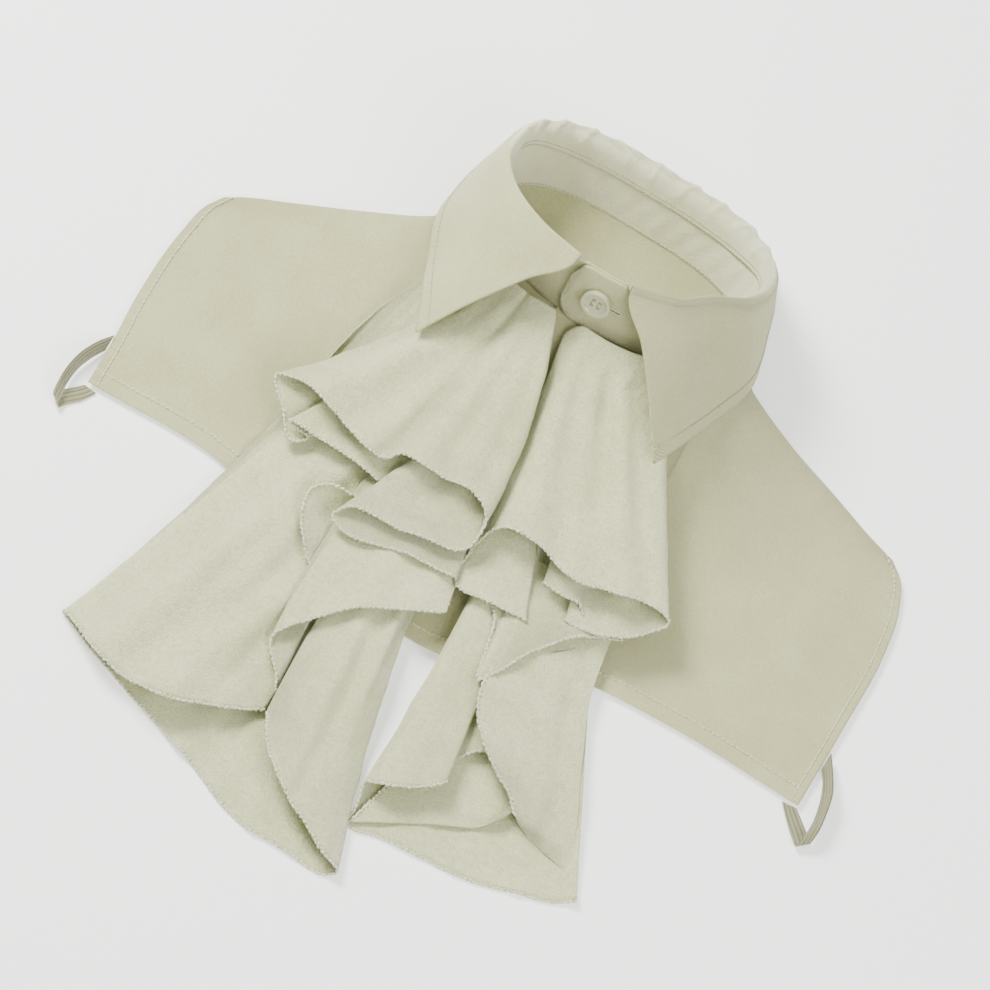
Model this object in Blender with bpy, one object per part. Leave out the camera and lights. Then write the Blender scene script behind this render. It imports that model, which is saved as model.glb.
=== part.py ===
"""Detachable shirt collar with a two-tier ruffled jabot, laid on its back on a flat surface.

Sizes are in centimetres until metres() places them. An outline point is (across, down, height):
across runs to the right and down runs down a drawing plane that leans VIEW_LEAN from the surface,
with its zero at the collar button. Height is above the surface that the collar lies on.
A ruffle's third number is its lift above the panels that it lies on.
"""
import math

import bmesh
import bpy
from mathutils import Vector

CM = 0.01
VIEW_LEAN = math.radians(62.0)
DRAWING_ZERO = -3.82
ORIGIN_TO_NAPE = 13.0

PANEL_CLOTH = 0.12
COLLAR_CLOTH = 0.12
RUFFLE_CLOTH = 0.10
ELASTIC = 0.12
SEAM_GAP = 0.04

# Neck ring: an ellipse in front and a boxier curve behind, leaning RING_LEAN back from upright
RING_LEAN = math.radians(28.0)
BASE_CENTRE = Vector((0.0, -4.26, 2.87))
TOP_CENTRE = Vector((-0.2, -2.885, 6.10))
BASE_HALF_WIDTH = 6.7
TOP_HALF_WIDTH = 6.9
BASE_HALF_DEPTH = 4.83
TOP_HALF_DEPTH = 5.16
BACK_SQUARENESS = 3.0
# The leaf presses the ring in a little at its front right
DENT_TURN = 52.0
DENT_SPREAD = 32.0
DENT_DEPTH = 0.12
RING_AXIS = Vector((0.0, math.sin(RING_LEAN), math.cos(RING_LEAN)))
RING_BACK = Vector((0.0, math.cos(RING_LEAN), -math.sin(RING_LEAN)))

# Stand: its band overlaps itself in front, the right-hand end on top
UNDER_END_TURN = 15.6
OVER_END_TURN = -372.9
OVERLAP_STEP = 0.11
STAND_RISE_BACK = 0.62
STAND_RISE_SIDE = 0.90
STAND_RISE_FRONT = 0.985
STAND_END_CUT = 0.16

# Leaf: its seam lies just above the stand's, and its fold rolls over the ring's top
LEAF_SEAM_STEP = 0.045
FOLD_OUTWARD = 0.20
FOLD_CREST = 0.22
FOLD_DEPTH = 0.46
FOLD_RISE = 0.97
LEAF_SWAY = 0.05

# Panels
FLAT_HEIGHT = 0.22
SIDE_SLOPE = 10.0
FRONT_SLOPE = 14.5
SLOPE_POWER = 1.7
PLACKET_LAP = 0.17
LAP_INNER = 2.0
LAP_OUTER = 4.5
LAP_FIRST_DOWN = 2.0
LAP_LAST_DOWN = 8.0
BACK_SLOPE = 2.6
NECK_SEAM_DROP = 0.12
BACK_DROP = 0.19
BACK_INSET = 0.15

# Button
BUTTON_RADIUS = 0.75
BUTTON_THICKNESS = 0.28
BUTTON_SEAT_RISE = 0.50
BUTTON_RIM = 0.14
BUTTON_HOLE_RADIUS = 0.09
BUTTON_HOLE_SPREAD = 0.17


def mix(low, high, share):
    return low + (high - low) * share


def ease(low, high, value):
    """Goes smoothly from 0 to 1 while value goes from low to high."""
    share = min(max((value - low) / (high - low), 0.0), 1.0)
    return share * share * (3.0 - 2.0 * share)


def lay(across, down, height):
    """A point of the drawing plane at a height, measured from the nape seam."""
    depth = (DRAWING_ZERO - down - math.cos(VIEW_LEAN) * height) / math.sin(VIEW_LEAN)
    return Vector((across, depth, height))


def metres(point):
    return Vector((point.x, point.y + ORIGIN_TO_NAPE, point.z)) * CM


def spline(points, spans):
    """Points along a smooth curve that passes through all the given ones."""
    points = [Vector(point) for point in points]
    steps = [max((stop - start).length, 1e-6) for start, stop in zip(points, points[1:])]
    slopes = [(stop - start) / step for start, stop, step in zip(points, points[1:], steps)]
    tangents = [slopes[0]]
    for index in range(1, len(points) - 1):
        before, after = steps[index - 1], steps[index]
        tangents.append((slopes[index - 1] * after + slopes[index] * before) / (before + after))
    tangents.append(slopes[-1])
    curve = []
    for index, step in enumerate(steps):
        for part in range(spans):
            t = part / spans
            curve.append(points[index] * (2 * t ** 3 - 3 * t ** 2 + 1)
                         + tangents[index] * step * (t ** 3 - 2 * t ** 2 + t)
                         + points[index + 1] * (3 * t ** 2 - 2 * t ** 3)
                         + tangents[index + 1] * step * (t ** 3 - t ** 2))
    curve.append(points[-1])
    return curve


def evenly(points, count):
    """The curve through the points, cut into count equal steps."""
    fine = spline([point.to_3d() for point in map(Vector, points)], 8)
    lengths = [0.0]
    for start, stop in zip(fine, fine[1:]):
        lengths.append(lengths[-1] + (stop - start).length)
    result = []
    index = 0
    for step in range(count + 1):
        target = lengths[-1] * step / count
        while index < len(fine) - 2 and lengths[index + 1] < target:
            index += 1
        span = max(lengths[index + 1] - lengths[index], 1e-9)
        result.append(fine[index].lerp(fine[index + 1], (target - lengths[index]) / span))
    return result


def down_at(outline, across):
    """How far down an outline, listed from left to right, lies at a place across it."""
    for (left, left_down), (right, right_down) in zip(outline, outline[1:]):
        if across <= right:
            share = (across - left) / (right - left)
            return mix(left_down, right_down, max(share, 0.0))
    return outline[-1][1]


def new_material(name, colour, roughness):
    material = bpy.data.materials.new(name)
    material.use_nodes = True
    shader = material.node_tree.nodes["Principled BSDF"]
    shader.inputs["Base Color"].default_value = (*colour, 1.0)
    shader.inputs["Roughness"].default_value = roughness
    shader.inputs["Metallic"].default_value = 0.0
    material.diffuse_color = (*colour, 1.0)
    return material


def add_object(name, mesh, material):
    mesh.materials.append(material)
    made = bpy.data.objects.new(name, mesh)
    bpy.context.collection.objects.link(made)
    return made


def cloth_wall(name, rows, thickness, material):
    """A closed wall of cloth with the grid of points running through its middle."""
    last_row = len(rows) - 1
    last_column = len(rows[0]) - 1
    mesh = bpy.data.meshes.new(name)
    shell = bmesh.new()
    faces_up = []
    faces_down = []
    for i, row in enumerate(rows):
        up = []
        down = []
        for j, point in enumerate(row):
            along = rows[min(i + 1, last_row)][j] - rows[max(i - 1, 0)][j]
            over = row[min(j + 1, last_column)] - row[max(j - 1, 0)]
            offset = along.cross(over).normalized() * thickness * 0.5
            up.append(shell.verts.new(metres(point + offset)))
            down.append(shell.verts.new(metres(point - offset)))
        faces_up.append(up)
        faces_down.append(down)
    for i in range(last_row):
        for j in range(last_column):
            shell.faces.new((faces_up[i][j], faces_up[i + 1][j], faces_up[i + 1][j + 1], faces_up[i][j + 1]))
            shell.faces.new((faces_down[i][j], faces_down[i][j + 1], faces_down[i + 1][j + 1],
                             faces_down[i + 1][j]))
    rim_up = ([faces_up[i][0] for i in range(last_row)] + faces_up[last_row][:last_column]
              + [faces_up[i][last_column] for i in range(last_row, 0, -1)] + faces_up[0][last_column:0:-1])
    rim_down = ([faces_down[i][0] for i in range(last_row)] + faces_down[last_row][:last_column]
                + [faces_down[i][last_column] for i in range(last_row, 0, -1)] + faces_down[0][last_column:0:-1])
    for k in range(len(rim_up)):
        following = (k + 1) % len(rim_up)
        shell.faces.new((rim_up[k], rim_down[k], rim_down[following], rim_up[following]))
    bmesh.ops.triangulate(shell, faces=shell.faces[:])
    if shell.calc_volume(signed=True) < 0:
        bmesh.ops.reverse_faces(shell, faces=shell.faces[:])
    shell.to_mesh(mesh)
    shell.free()
    made = add_object(name, mesh, material)
    mesh.shade_smooth()
    mesh.set_sharp_from_angle(angle=math.radians(50.0))
    return made


# The neck ring and the stand

def ring_point(turn, rise, outward=0.0):
    """A point on the ring: turn in degrees from the front, rise from 0 at its base to 1 at its top."""
    side = math.sin(math.radians(turn))
    front = math.cos(math.radians(turn))
    from_dent = ((turn - DENT_TURN + 180.0) % 360.0 - 180.0) / DENT_SPREAD
    dent = 1.0 - DENT_DEPTH * rise * math.exp(-from_dent ** 2)
    power = 2.0 if front >= 0.0 else BACK_SQUARENESS
    size = dent * (abs(side) ** power + abs(front) ** power) ** (-1.0 / power)
    half_width = mix(BASE_HALF_WIDTH, TOP_HALF_WIDTH, rise) + outward
    half_depth = mix(BASE_HALF_DEPTH, TOP_HALF_DEPTH, rise) + outward
    centre = BASE_CENTRE.lerp(TOP_CENTRE, rise)
    return centre + Vector((side * size * half_width, 0.0, 0.0)) - RING_BACK * (front * size * half_depth)


def stand_rise(turn):
    """How much of the ring's height the stand takes: all in front, less under the fold behind."""
    away = abs((turn + 180.0) % 360.0 - 180.0)
    behind = ease(95.0, 150.0, away)
    front = 1.0 - ease(9.0, 12.0, away)
    return mix(mix(STAND_RISE_SIDE, STAND_RISE_BACK, behind), STAND_RISE_FRONT, front)


def collar_stand(material):
    """The band around the neck, from its under end round the back to its rounded over end."""
    turns = [UNDER_END_TURN, 12.0, 9.0, 3.0, -5.0]
    turns += [-5.0 - 350.0 * step / 36 for step in range(1, 36)]
    turns += [-356.0, -363.0, -368.0, -371.0, OVER_END_TURN]
    rises = [0.0, 0.25, 0.5, 0.75, 1.0]
    rows = []
    for turn in turns:
        outward = -OVERLAP_STEP * (1.0 - ease(35.0, 80.0, -turn)) + OVERLAP_STEP * ease(280.0, 325.0, -turn)
        near_end = ease(OVER_END_TURN + 5.0, OVER_END_TURN, turn) if turn < -300.0 else 0.0
        low = STAND_END_CUT * near_end
        high = stand_rise(turn) - STAND_END_CUT * near_end
        rows.append([ring_point(turn, mix(low, high, rise), outward) for rise in rises])
    return cloth_wall("collar_stand", rows, COLLAR_CLOTH, material)


# Outer edge of the folded leaf: place, turn of the fold above it, across, down, height
LEAF_EDGE = (
    ("left_tip", -12.6, -6.65, 5.85, 4.15),
    ("left_front", -34.0, -7.25, 4.40, 3.75),
    ("left_breast", -58.0, -8.00, 2.60, 3.00),
    ("left_side", -82.0, -8.70, 0.45, 2.80),
    ("left_shoulder", -103.0, -8.35, -2.20, 1.60),
    ("left_back", -123.0, -7.50, -4.35, 0.90),
    ("left_corner", -141.0, -6.15, -5.80, 0.55),
    ("left_nape", -162.0, -3.20, -6.80, 0.45),
    ("nape", -180.0, 0.00, -7.00, 0.45),
    ("right_nape", -198.0, 3.20, -6.85, 0.45),
    ("right_corner", -219.0, 6.05, -5.90, 0.55),
    ("right_back", -237.0, 7.35, -4.45, 0.90),
    ("right_shoulder", -257.0, 8.15, -2.35, 1.60),
    ("right_side", -278.0, 8.60, 0.10, 2.80),
    ("right_breast", -302.0, 7.80, 2.30, 3.00),
    ("right_front", -326.0, 7.05, 4.05, 3.85),
    ("right_tip", -348.6, 6.40, 5.40, 4.25),
)


def leaf_section(turn, edge):
    """From the stand's seam up inside, over the fold and down outside to the edge."""
    low = stand_rise(-30.0 if abs(turn + 180.0) > 150.0 else turn) + LEAF_SEAM_STEP
    fold_inner = ring_point(turn, 1.0)
    fold_crest = ring_point(turn, 1.0, FOLD_OUTWARD) + RING_AXIS * FOLD_CREST
    fold_outer = ring_point(turn, FOLD_RISE, FOLD_DEPTH)
    sway = (edge - fold_outer).length * LEAF_SWAY
    upper = fold_outer.lerp(edge, 0.33) + RING_AXIS * sway
    lower = fold_outer.lerp(edge, 0.68) + RING_AXIS * sway
    return [ring_point(turn, low), fold_inner, fold_crest, fold_outer, upper, lower, edge]


def collar_leaf(material):
    """The leaf that folds down over the stand to two points in front."""
    sections = [leaf_section(turn, lay(across, down, height))
                for place, turn, across, down, height in LEAF_EDGE]
    columns = [spline(list(column), 2) for column in zip(*sections)]
    rows = [list(row) for row in zip(*columns)]
    rows = [row[:1] + spline(row, 2)[2:8] + spline(row[3:], 1)[1:] for row in rows]
    return cloth_wall("collar_leaf", rows, COLLAR_CLOTH, material)


def collar_button(material):
    """A four-hole button with a raised rim, flat on the stand's over end."""
    rising = (ring_point(0.0, 1.0) - ring_point(0.0, 0.0)).normalized()
    facing = Vector((1.0, 0.0, 0.0)).cross(rising)
    seat = ring_point(0.0, BUTTON_SEAT_RISE, OVERLAP_STEP) + facing * (COLLAR_CLOTH * 0.5 + SEAM_GAP)
    mesh = bpy.data.meshes.new("collar_button")
    disc = bmesh.new()
    profile = ((0.0, 0.0), (BUTTON_RADIUS * 0.8, 0.0), (BUTTON_RADIUS, BUTTON_THICKNESS * 0.45),
               (BUTTON_RADIUS * 0.93, BUTTON_THICKNESS), (BUTTON_RADIUS - BUTTON_RIM, BUTTON_THICKNESS),
               (BUTTON_RADIUS - BUTTON_RIM * 1.6, BUTTON_THICKNESS * 0.62), (0.0, BUTTON_THICKNESS * 0.62))
    ring = [disc.verts.new((radius * CM, 0.0, height * CM)) for radius, height in profile]
    edges = [disc.edges.new(pair) for pair in zip(ring, ring[1:])]
    bmesh.ops.spin(disc, geom=ring + edges, cent=(0, 0, 0), axis=(0, 0, 1), angle=math.tau, steps=28,
                   use_merge=True)
    bmesh.ops.remove_doubles(disc, verts=disc.verts[:], dist=0.00001)
    bmesh.ops.recalc_face_normals(disc, faces=disc.faces[:])
    disc.to_mesh(mesh)
    disc.free()
    made = add_object("collar_button", mesh, material)
    cutter_mesh = bpy.data.meshes.new("button_holes")
    holes = bmesh.new()
    for side in (-1, 1):
        for end in (-1, 1):
            made_hole = bmesh.ops.create_cone(holes, cap_ends=True, segments=10,
                                              radius1=BUTTON_HOLE_RADIUS * CM, radius2=BUTTON_HOLE_RADIUS * CM,
                                              depth=4.0 * BUTTON_THICKNESS * CM)
            bmesh.ops.translate(holes, verts=made_hole["verts"],
                                vec=(side * BUTTON_HOLE_SPREAD * CM, end * BUTTON_HOLE_SPREAD * CM, 0.0))
    holes.to_mesh(cutter_mesh)
    holes.free()
    cutter = bpy.data.objects.new("button_holes", cutter_mesh)
    bpy.context.collection.objects.link(cutter)
    cutter.hide_render = True
    cutter.display_type = "WIRE"
    turn_up = facing.to_track_quat("Z", "Y")
    for piece in (made, cutter):
        piece.rotation_mode = "QUATERNION"
        piece.rotation_quaternion = turn_up
        piece.location = metres(seat)
    cut = made.modifiers.new("holes", "BOOLEAN")
    cut.operation = "DIFFERENCE"
    cut.solver = "EXACT"
    cut.object = cutter
    return made


# The panels

LEFT_SHOULDER = ((-18.05, 5.0), (-17.2, 4.5), (-15.0, 3.5), (-11.7, 2.0), (-8.8, 0.5), (-6.85, -1.2))
RIGHT_SHOULDER = ((6.85, -1.2), (9.0, 0.0), (11.6, 1.1), (15.0, 2.2), (17.4, 3.0), (18.85, 3.4))
LEFT_SIDE = ((-18.05, 5.0), (-18.65, 6.0), (-18.9, 7.3), (-19.1, 11.4), (-18.95, 13.6), (-18.9, 16.0))
RIGHT_SIDE = ((18.85, 3.4), (19.7, 4.1), (20.35, 5.4), (20.8, 7.8), (20.85, 11.4), (20.8, 15.87))
HEM = ((-18.9, 16.0), (-11.4, 16.0), (-10.2, 16.2), (-6.0, 17.3), (-3.0, 18.2), (0.0, 18.6), (1.5, 18.6),
       (5.0, 17.6), (9.2, 16.1), (12.8, 15.8), (20.8, 15.87))
PLACKET_ACROSS = -1.5
UNDER_PLACKET_ACROSS = 1.0


def neck_outline(first_turn, last_turn, steps):
    """The ring's base as it lies in the drawing plane."""
    outline = []
    for step in range(steps + 1):
        point = ring_point(mix(first_turn, last_turn, step / steps), 0.0)
        outline.append((point.x, DRAWING_ZERO - math.sin(VIEW_LEAN) * point.y - math.cos(VIEW_LEAN) * point.z))
    return tuple(outline)


def panel_height(across, down):
    """Height of the front panels' middle: the ring's base at the neck, nearly flat further out."""
    neck_centre = DRAWING_ZERO - math.sin(VIEW_LEAN) * BASE_CENTRE.y - math.cos(VIEW_LEAN) * BASE_CENTRE.z
    neck_half = BASE_HALF_DEPTH * math.sin(VIEW_LEAN - RING_LEAN)
    reach = math.hypot(across, down - neck_centre)
    times_neck = math.hypot(across / BASE_HALF_WIDTH, (down - neck_centre) / neck_half)
    forward = (down - neck_centre) / neck_half / times_neck
    distance = reach * (1.0 - 1.0 / times_neck)
    neck_height = BASE_CENTRE.z + BASE_HALF_DEPTH * math.sin(RING_LEAN) * forward - NECK_SEAM_DROP
    slope = mix(SIDE_SLOPE, FRONT_SLOPE, max(forward, 0.0))
    fall = max(1.0 - max(distance, 0.0) / slope, 0.0) ** SLOPE_POWER
    return FLAT_HEIGHT + (neck_height - FLAT_HEIGHT) * fall


def patch(top, bottom, left, right, shares, lift):
    """A grid that fills four outlines, each given as drawing-plane points."""
    rows = []
    columns = len(top) - 1
    for k, share in enumerate(shares):
        row = []
        for i in range(columns + 1):
            s = i / columns
            flat = (mix(Vector(top[i]), Vector(bottom[i]), share) + mix(Vector(left[k]), Vector(right[k]), s)
                    - mix(mix(Vector(top[0]), Vector(top[-1]), s), mix(Vector(bottom[0]), Vector(bottom[-1]), s),
                          share))
            row.append(lay(flat.x, flat.y, panel_height(flat.x, flat.y) + lift(flat.x, flat.y)))
        rows.append(row)
    return rows


def side_at(outline, shares):
    """Points down a side outline at the given shares of its length."""
    fine = evenly([(across, down, 0.0) for across, down in outline], 40)
    return [fine[round(share * 40)].to_2d() for share in shares]


PANEL_SHARES = (0.0, 0.05, 0.125, 0.2, 0.3, 0.4, 0.525, 0.65, 0.775, 0.9, 1.0)
BACK_SHARES = (0.0, 0.025, 0.05, 0.1, 0.15, 0.25, 0.5, 0.75, 1.0)
RUFFLE_SHARES = (0.0, 0.12, 0.27, 0.45, 0.65, 0.83, 1.0)
RUFFLE_SPANS = 2
# The ruffles lie on the lapped fronts, and beyond the hem they come down to the surface
LAPPED_FRONTS = 0.26
GROUND_STARTS_DOWN = 20.5
GROUND_REACHED = 25.0
ROLL_SHARE = 0.62
ROLL_CROWN = 0.8


def front_panel(name, top, side, inner_across, lap, material):
    """A front from shoulder and neck to hem. top runs from left to right."""
    columns = evenly([(across, down, 0.0) for across, down in top], 22)
    top_points = [point.to_2d() for point in columns]
    left_end, right_end = (HEM[0][0], inner_across) if side is LEFT_SIDE else (inner_across, HEM[-1][0])
    first, last = top_points[0].x, top_points[-1].x
    bottom = []
    for point in top_points:
        across = mix(left_end, right_end, (point.x - first) / (last - first))
        bottom.append((across, down_at(HEM, across)))
    outer = side_at(side, PANEL_SHARES)
    inner_top = top_points[-1] if side is LEFT_SIDE else top_points[0]
    inner_bottom = bottom[-1] if side is LEFT_SIDE else bottom[0]
    inner = [mix(Vector(inner_top), Vector(inner_bottom), share) for share in PANEL_SHARES]
    left, right = (outer, inner) if side is LEFT_SIDE else (inner, outer)
    rows = patch(top_points, bottom, left, right, PANEL_SHARES, lap)
    return cloth_wall(name, rows, PANEL_CLOTH, material)


def back_panel(material):
    """The back lies flat and turns up to meet the shoulders and the nape."""
    drop = Vector((0.0, 0.0, BACK_DROP))
    top = []
    for point in evenly([(across, down, 0.0) for across, down in LEFT_SHOULDER], 9)[:-1]:
        top.append(lay(point.x, point.y, panel_height(point.x, point.y)) - drop)
    for step in range(17):
        top.append(ring_point(-90.0 - 180.0 * step / 16, 0.0) - drop)
    for point in evenly([(across, down, 0.0) for across, down in RIGHT_SHOULDER], 9)[1:]:
        top.append(lay(point.x, point.y, panel_height(point.x, point.y)) - drop)
    left = [lay(point.x + BACK_INSET, point.y, FLAT_HEIGHT) for point in side_at(LEFT_SIDE, BACK_SHARES)]
    right = [lay(point.x - BACK_INSET, point.y, FLAT_HEIGHT) for point in side_at(RIGHT_SIDE, BACK_SHARES)]
    columns = len(top) - 1
    rows = []
    for k, share in enumerate(BACK_SHARES):
        row = []
        for i, start in enumerate(top):
            s = i / columns
            across = mix(left[-1].x, right[-1].x, s)
            stop = lay(across, down_at(HEM, across) - BACK_INSET, FLAT_HEIGHT)
            side = mix(left[k], right[k], s) - mix(mix(left[0], right[0], s), mix(left[-1], right[-1], s), share)
            point = start.lerp(stop, share) + Vector((side.x, side.y, 0.0))
            fall = max(1.0 - (start - stop).length * share / BACK_SLOPE, 0.0) ** 2
            point.z = mix(PANEL_CLOTH * 0.5, max(start.z, PANEL_CLOTH * 0.5), fall)
            row.append(point)
        rows.append(row)
    return cloth_wall("back_panel", rows, PANEL_CLOTH, material)


# The ruffles. Each row of a table is one fold line of the flounce: its root at the neck, how far its
# middle bows to the right, and the point it reaches at the hem. Lifts are above the panels.
# Columns: place, root across, down, lift, bow, hem across, down, lift

UPPER_LEFT = (
    ("inner_end", -3.9, 7.5, 0.75, 0.0, -4.6, 12.9, 1.25),
    ("inner_mid", -4.6, 6.6, 0.80, 0.0, -7.0, 12.65, 1.35),
    ("inner_left", -5.1, 5.6, 0.80, 0.0, -9.1, 13.1, 1.35),
    ("tip_under", -5.2, 4.2, 0.60, 0.2, -10.5, 12.3, 1.55),
    ("tip", -4.75, 1.7, 0.35, 0.65, -11.3, 11.0, 1.85),
    ("a_left", -4.4, 1.2, 0.50, 0.60, -10.2, 10.65, 2.15),
    ("a_mid", -3.9, 1.3, 0.60, 0.45, -8.0, 11.1, 2.35),
    ("a_right", -3.3, 1.4, 0.60, 0.20, -5.7, 11.8, 2.20),
    ("valley", -3.0, 1.42, 0.50, 0.10, -4.85, 11.8, 1.95),
    ("b_left", -2.8, 1.45, 0.60, 0.10, -4.3, 11.2, 2.40),
    ("b_mid", -2.3, 1.45, 0.65, 0.25, -2.0, 11.15, 2.60),
    ("b_right", -1.7, 1.45, 0.60, 0.50, -0.3, 10.95, 2.60),
    ("b_turn", -1.45, 1.45, 0.50, 0.60, 0.85, 11.8, 2.45),
    ("edge", -1.3, 1.8, 0.35, 0.60, 1.05, 12.5, 2.25),
    ("c_right", -0.9, 4.5, 0.82, 0.20, 0.9, 13.3, 2.05),
    ("c_mid", -1.3, 7.0, 1.38, 0.0, -2.0, 14.25, 2.00),
    ("c_left", -1.9, 7.5, 1.38, 0.0, -5.2, 14.9, 1.95),
    ("fold", -2.0, 7.8, 1.26, 0.0, -5.5, 15.45, 1.78),
    ("d_left", -1.9, 8.2, 1.14, 0.0, -4.9, 15.8, 1.60),
    ("d_mid", -1.0, 8.6, 1.14, 0.0, -2.0, 15.25, 1.60),
    ("d_right", 0.0, 9.0, 1.10, 0.0, 1.1, 14.95, 1.55),
)
UPPER_RIGHT = (
    ("tongue_right", 1.9, 7.5, 0.86, 0.0, 5.0, 14.9, 1.20),
    ("tongue_mid", 1.3, 7.0, 0.84, 0.0, 3.0, 15.15, 1.32),
    ("tongue_left", 0.7, 6.5, 0.74, 0.0, 1.25, 15.2, 1.25),
    ("turn", 0.35, 4.5, 0.40, 0.0, 1.05, 13.6, 1.45),
    ("left", -0.35, 1.9, 0.08, 0.0, 1.3, 12.2, 1.80),
    ("c_left", 0.1, 1.45, 0.30, 0.0, 2.0, 11.65, 2.20),
    ("c_mid", 0.7, 1.45, 0.50, 0.0, 3.6, 11.5, 2.45),
    ("valley", 1.5, 1.45, 0.45, 0.0, 4.9, 11.95, 2.10),
    ("r_first", 2.2, 1.4, 0.50, 0.0, 6.4, 12.05, 2.20),
    ("r_second", 3.0, 1.3, 0.58, 0.0, 8.0, 11.65, 2.40),
    ("r_third", 3.8, 1.15, 0.58, 0.0, 9.4, 11.25, 2.40),
    ("r_last", 4.3, 1.0, 0.48, 0.0, 10.4, 11.25, 2.20),
    ("tip", 4.6, 1.4, 0.35, 0.0, 10.9, 11.55, 1.90),
    ("under_first", 4.9, 4.2, 0.78, 0.0, 10.3, 12.5, 1.60),
    ("under_second", 4.7, 5.3, 0.92, 0.0, 9.0, 13.45, 1.45),
    ("under_third", 4.3, 6.2, 0.98, 0.0, 7.4, 13.85, 1.35),
    ("under_fourth", 3.9, 7.0, 0.98, 0.0, 5.9, 13.2, 1.20),
    ("under_end", 3.5, 7.6, 0.94, 0.0, 5.2, 12.9, 1.10),
)
INNER_LEFT = (
    ("start", 0.2, 8.0, 0.58, 0.0, 1.3, 15.9, 0.92),
    ("corner", 0.1, 7.5, 0.68, 0.0, 1.5, 16.5, 1.08),
    ("first", -0.3, 7.0, 0.76, 0.0, 0.6, 17.1, 1.32),
    ("second", -1.0, 6.6, 0.80, 0.0, -1.0, 17.85, 1.52),
    ("third", -1.8, 6.5, 0.80, 0.0, -2.6, 18.9, 1.52),
    ("fourth", -2.5, 6.5, 0.80, -0.3, -3.8, 20.1, 1.48),
    ("fifth", -3.0, 6.5, 0.76, -0.6, -4.5, 20.95, 1.38),
    ("left", -3.3, 6.7, 0.66, -0.7, -4.95, 21.8, 1.18),
    ("strip_left", -4.3, 15.0, 0.78, 0.0, -4.55, 22.6, 0.95),
    ("strip_mid", -4.1, 17.0, 0.72, 0.0, -4.0, 23.2, 0.86),
    ("strip_right", -3.95, 19.0, 0.68, 0.0, -3.5, 24.0, 0.76),
)
LOWER_LEFT = (
    ("lobe_end", -3.0, 6.0, 0.20, 0.0, -3.5, 25.0, 0.42),
    ("lobe_first", -3.4, 5.0, 0.20, 0.0, -5.0, 25.75, 0.52),
    ("lobe_second", -3.8, 4.0, 0.25, 0.0, -7.2, 26.6, 0.75),
    ("lobe_third", -4.2, 3.0, 0.28, 0.0, -9.3, 27.0, 0.80),
    ("lobe_fourth", -4.5, 2.4, 0.26, 0.0, -11.5, 26.75, 0.65),
    ("lobe_last", -4.7, 2.1, 0.22, 0.0, -13.1, 26.15, 0.45),
    ("tip", -4.9, 2.0, 0.22, 0.0, -14.0, 25.9, 0.28),
    ("ground_first", -8.2, 14.0, 0.12, 0.0, -12.0, 26.8, 0.07),
    ("ground_second", -6.4, 14.0, 0.08, 0.0, -8.7, 27.85, 0.07),
    ("ground_third", -4.6, 14.0, 0.08, 0.0, -5.5, 28.8, 0.07),
    ("ground_fourth", -2.8, 14.0, 0.08, 0.0, -2.35, 30.0, 0.07),
    ("ground_fifth", -1.2, 13.0, 0.08, 0.0, 0.8, 30.2, 0.07),
    ("ground_last", -0.8, 11.0, 0.06, -0.6, 2.9, 30.2, 0.12),
    ("front_tip", -0.8, 8.0, 0.20, -0.9, 3.4, 29.8, 0.45),
    ("front_first", -0.8, 5.0, 0.28, -0.9, 2.45, 29.3, 0.95),
    ("front_second", -1.0, 4.2, 0.30, -0.5, 1.2, 28.7, 1.25),
    ("front_third", -1.5, 4.0, 0.30, 0.0, -0.3, 27.95, 1.38),
    ("front_fourth", -2.0, 4.2, 0.30, -0.2, -1.7, 27.0, 1.38),
    ("front_fifth", -2.3, 4.6, 0.30, -0.5, -2.7, 26.0, 1.28),
    ("front_last", -2.5, 5.2, 0.28, -0.6, -3.35, 25.0, 1.08),
)
LOWER_RIGHT = (
    ("tip", 1.9, 2.0, 0.08, 0.0, 13.95, 25.2, 0.20),
    ("ground_first", 1.9, 2.6, 0.07, 0.0, 13.0, 25.8, 0.08),
    ("ground_second", 1.9, 3.2, 0.06, 0.0, 11.35, 26.3, 0.07),
    ("ground_third", 1.9, 3.8, 0.06, 0.0, 9.0, 26.95, 0.07),
    ("ground_fourth", 1.9, 4.4, 0.06, 0.0, 6.5, 27.2, 0.07),
    ("ground_fifth", 1.8, 5.0, 0.06, 0.0, 4.2, 27.4, 0.07),
    ("ground_last", 1.6, 5.4, 0.08, 0.2, 2.8, 27.65, 0.08),
    ("turn", 1.2, 5.3, 0.18, 0.4, 2.50, 26.4, 0.36),
    ("roll_left", 1.0, 5.0, 0.30, 0.45, 2.40, 25.4, 0.85),
    ("roll_first", 1.4, 5.0, 0.42, 0.2, 2.8, 25.25, 1.20),
    ("roll_second", 1.9, 5.0, 0.46, 0.0, 3.7, 24.9, 1.35),
    ("roll_third", 2.4, 5.0, 0.46, 0.0, 4.7, 24.3, 1.30),
    ("roll_right", 2.8, 5.2, 0.42, 0.0, 5.45, 23.5, 1.05),
    ("roll_under", 2.8, 7.0, 0.34, 0.0, 5.1, 22.9, 0.86),
)
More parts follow.
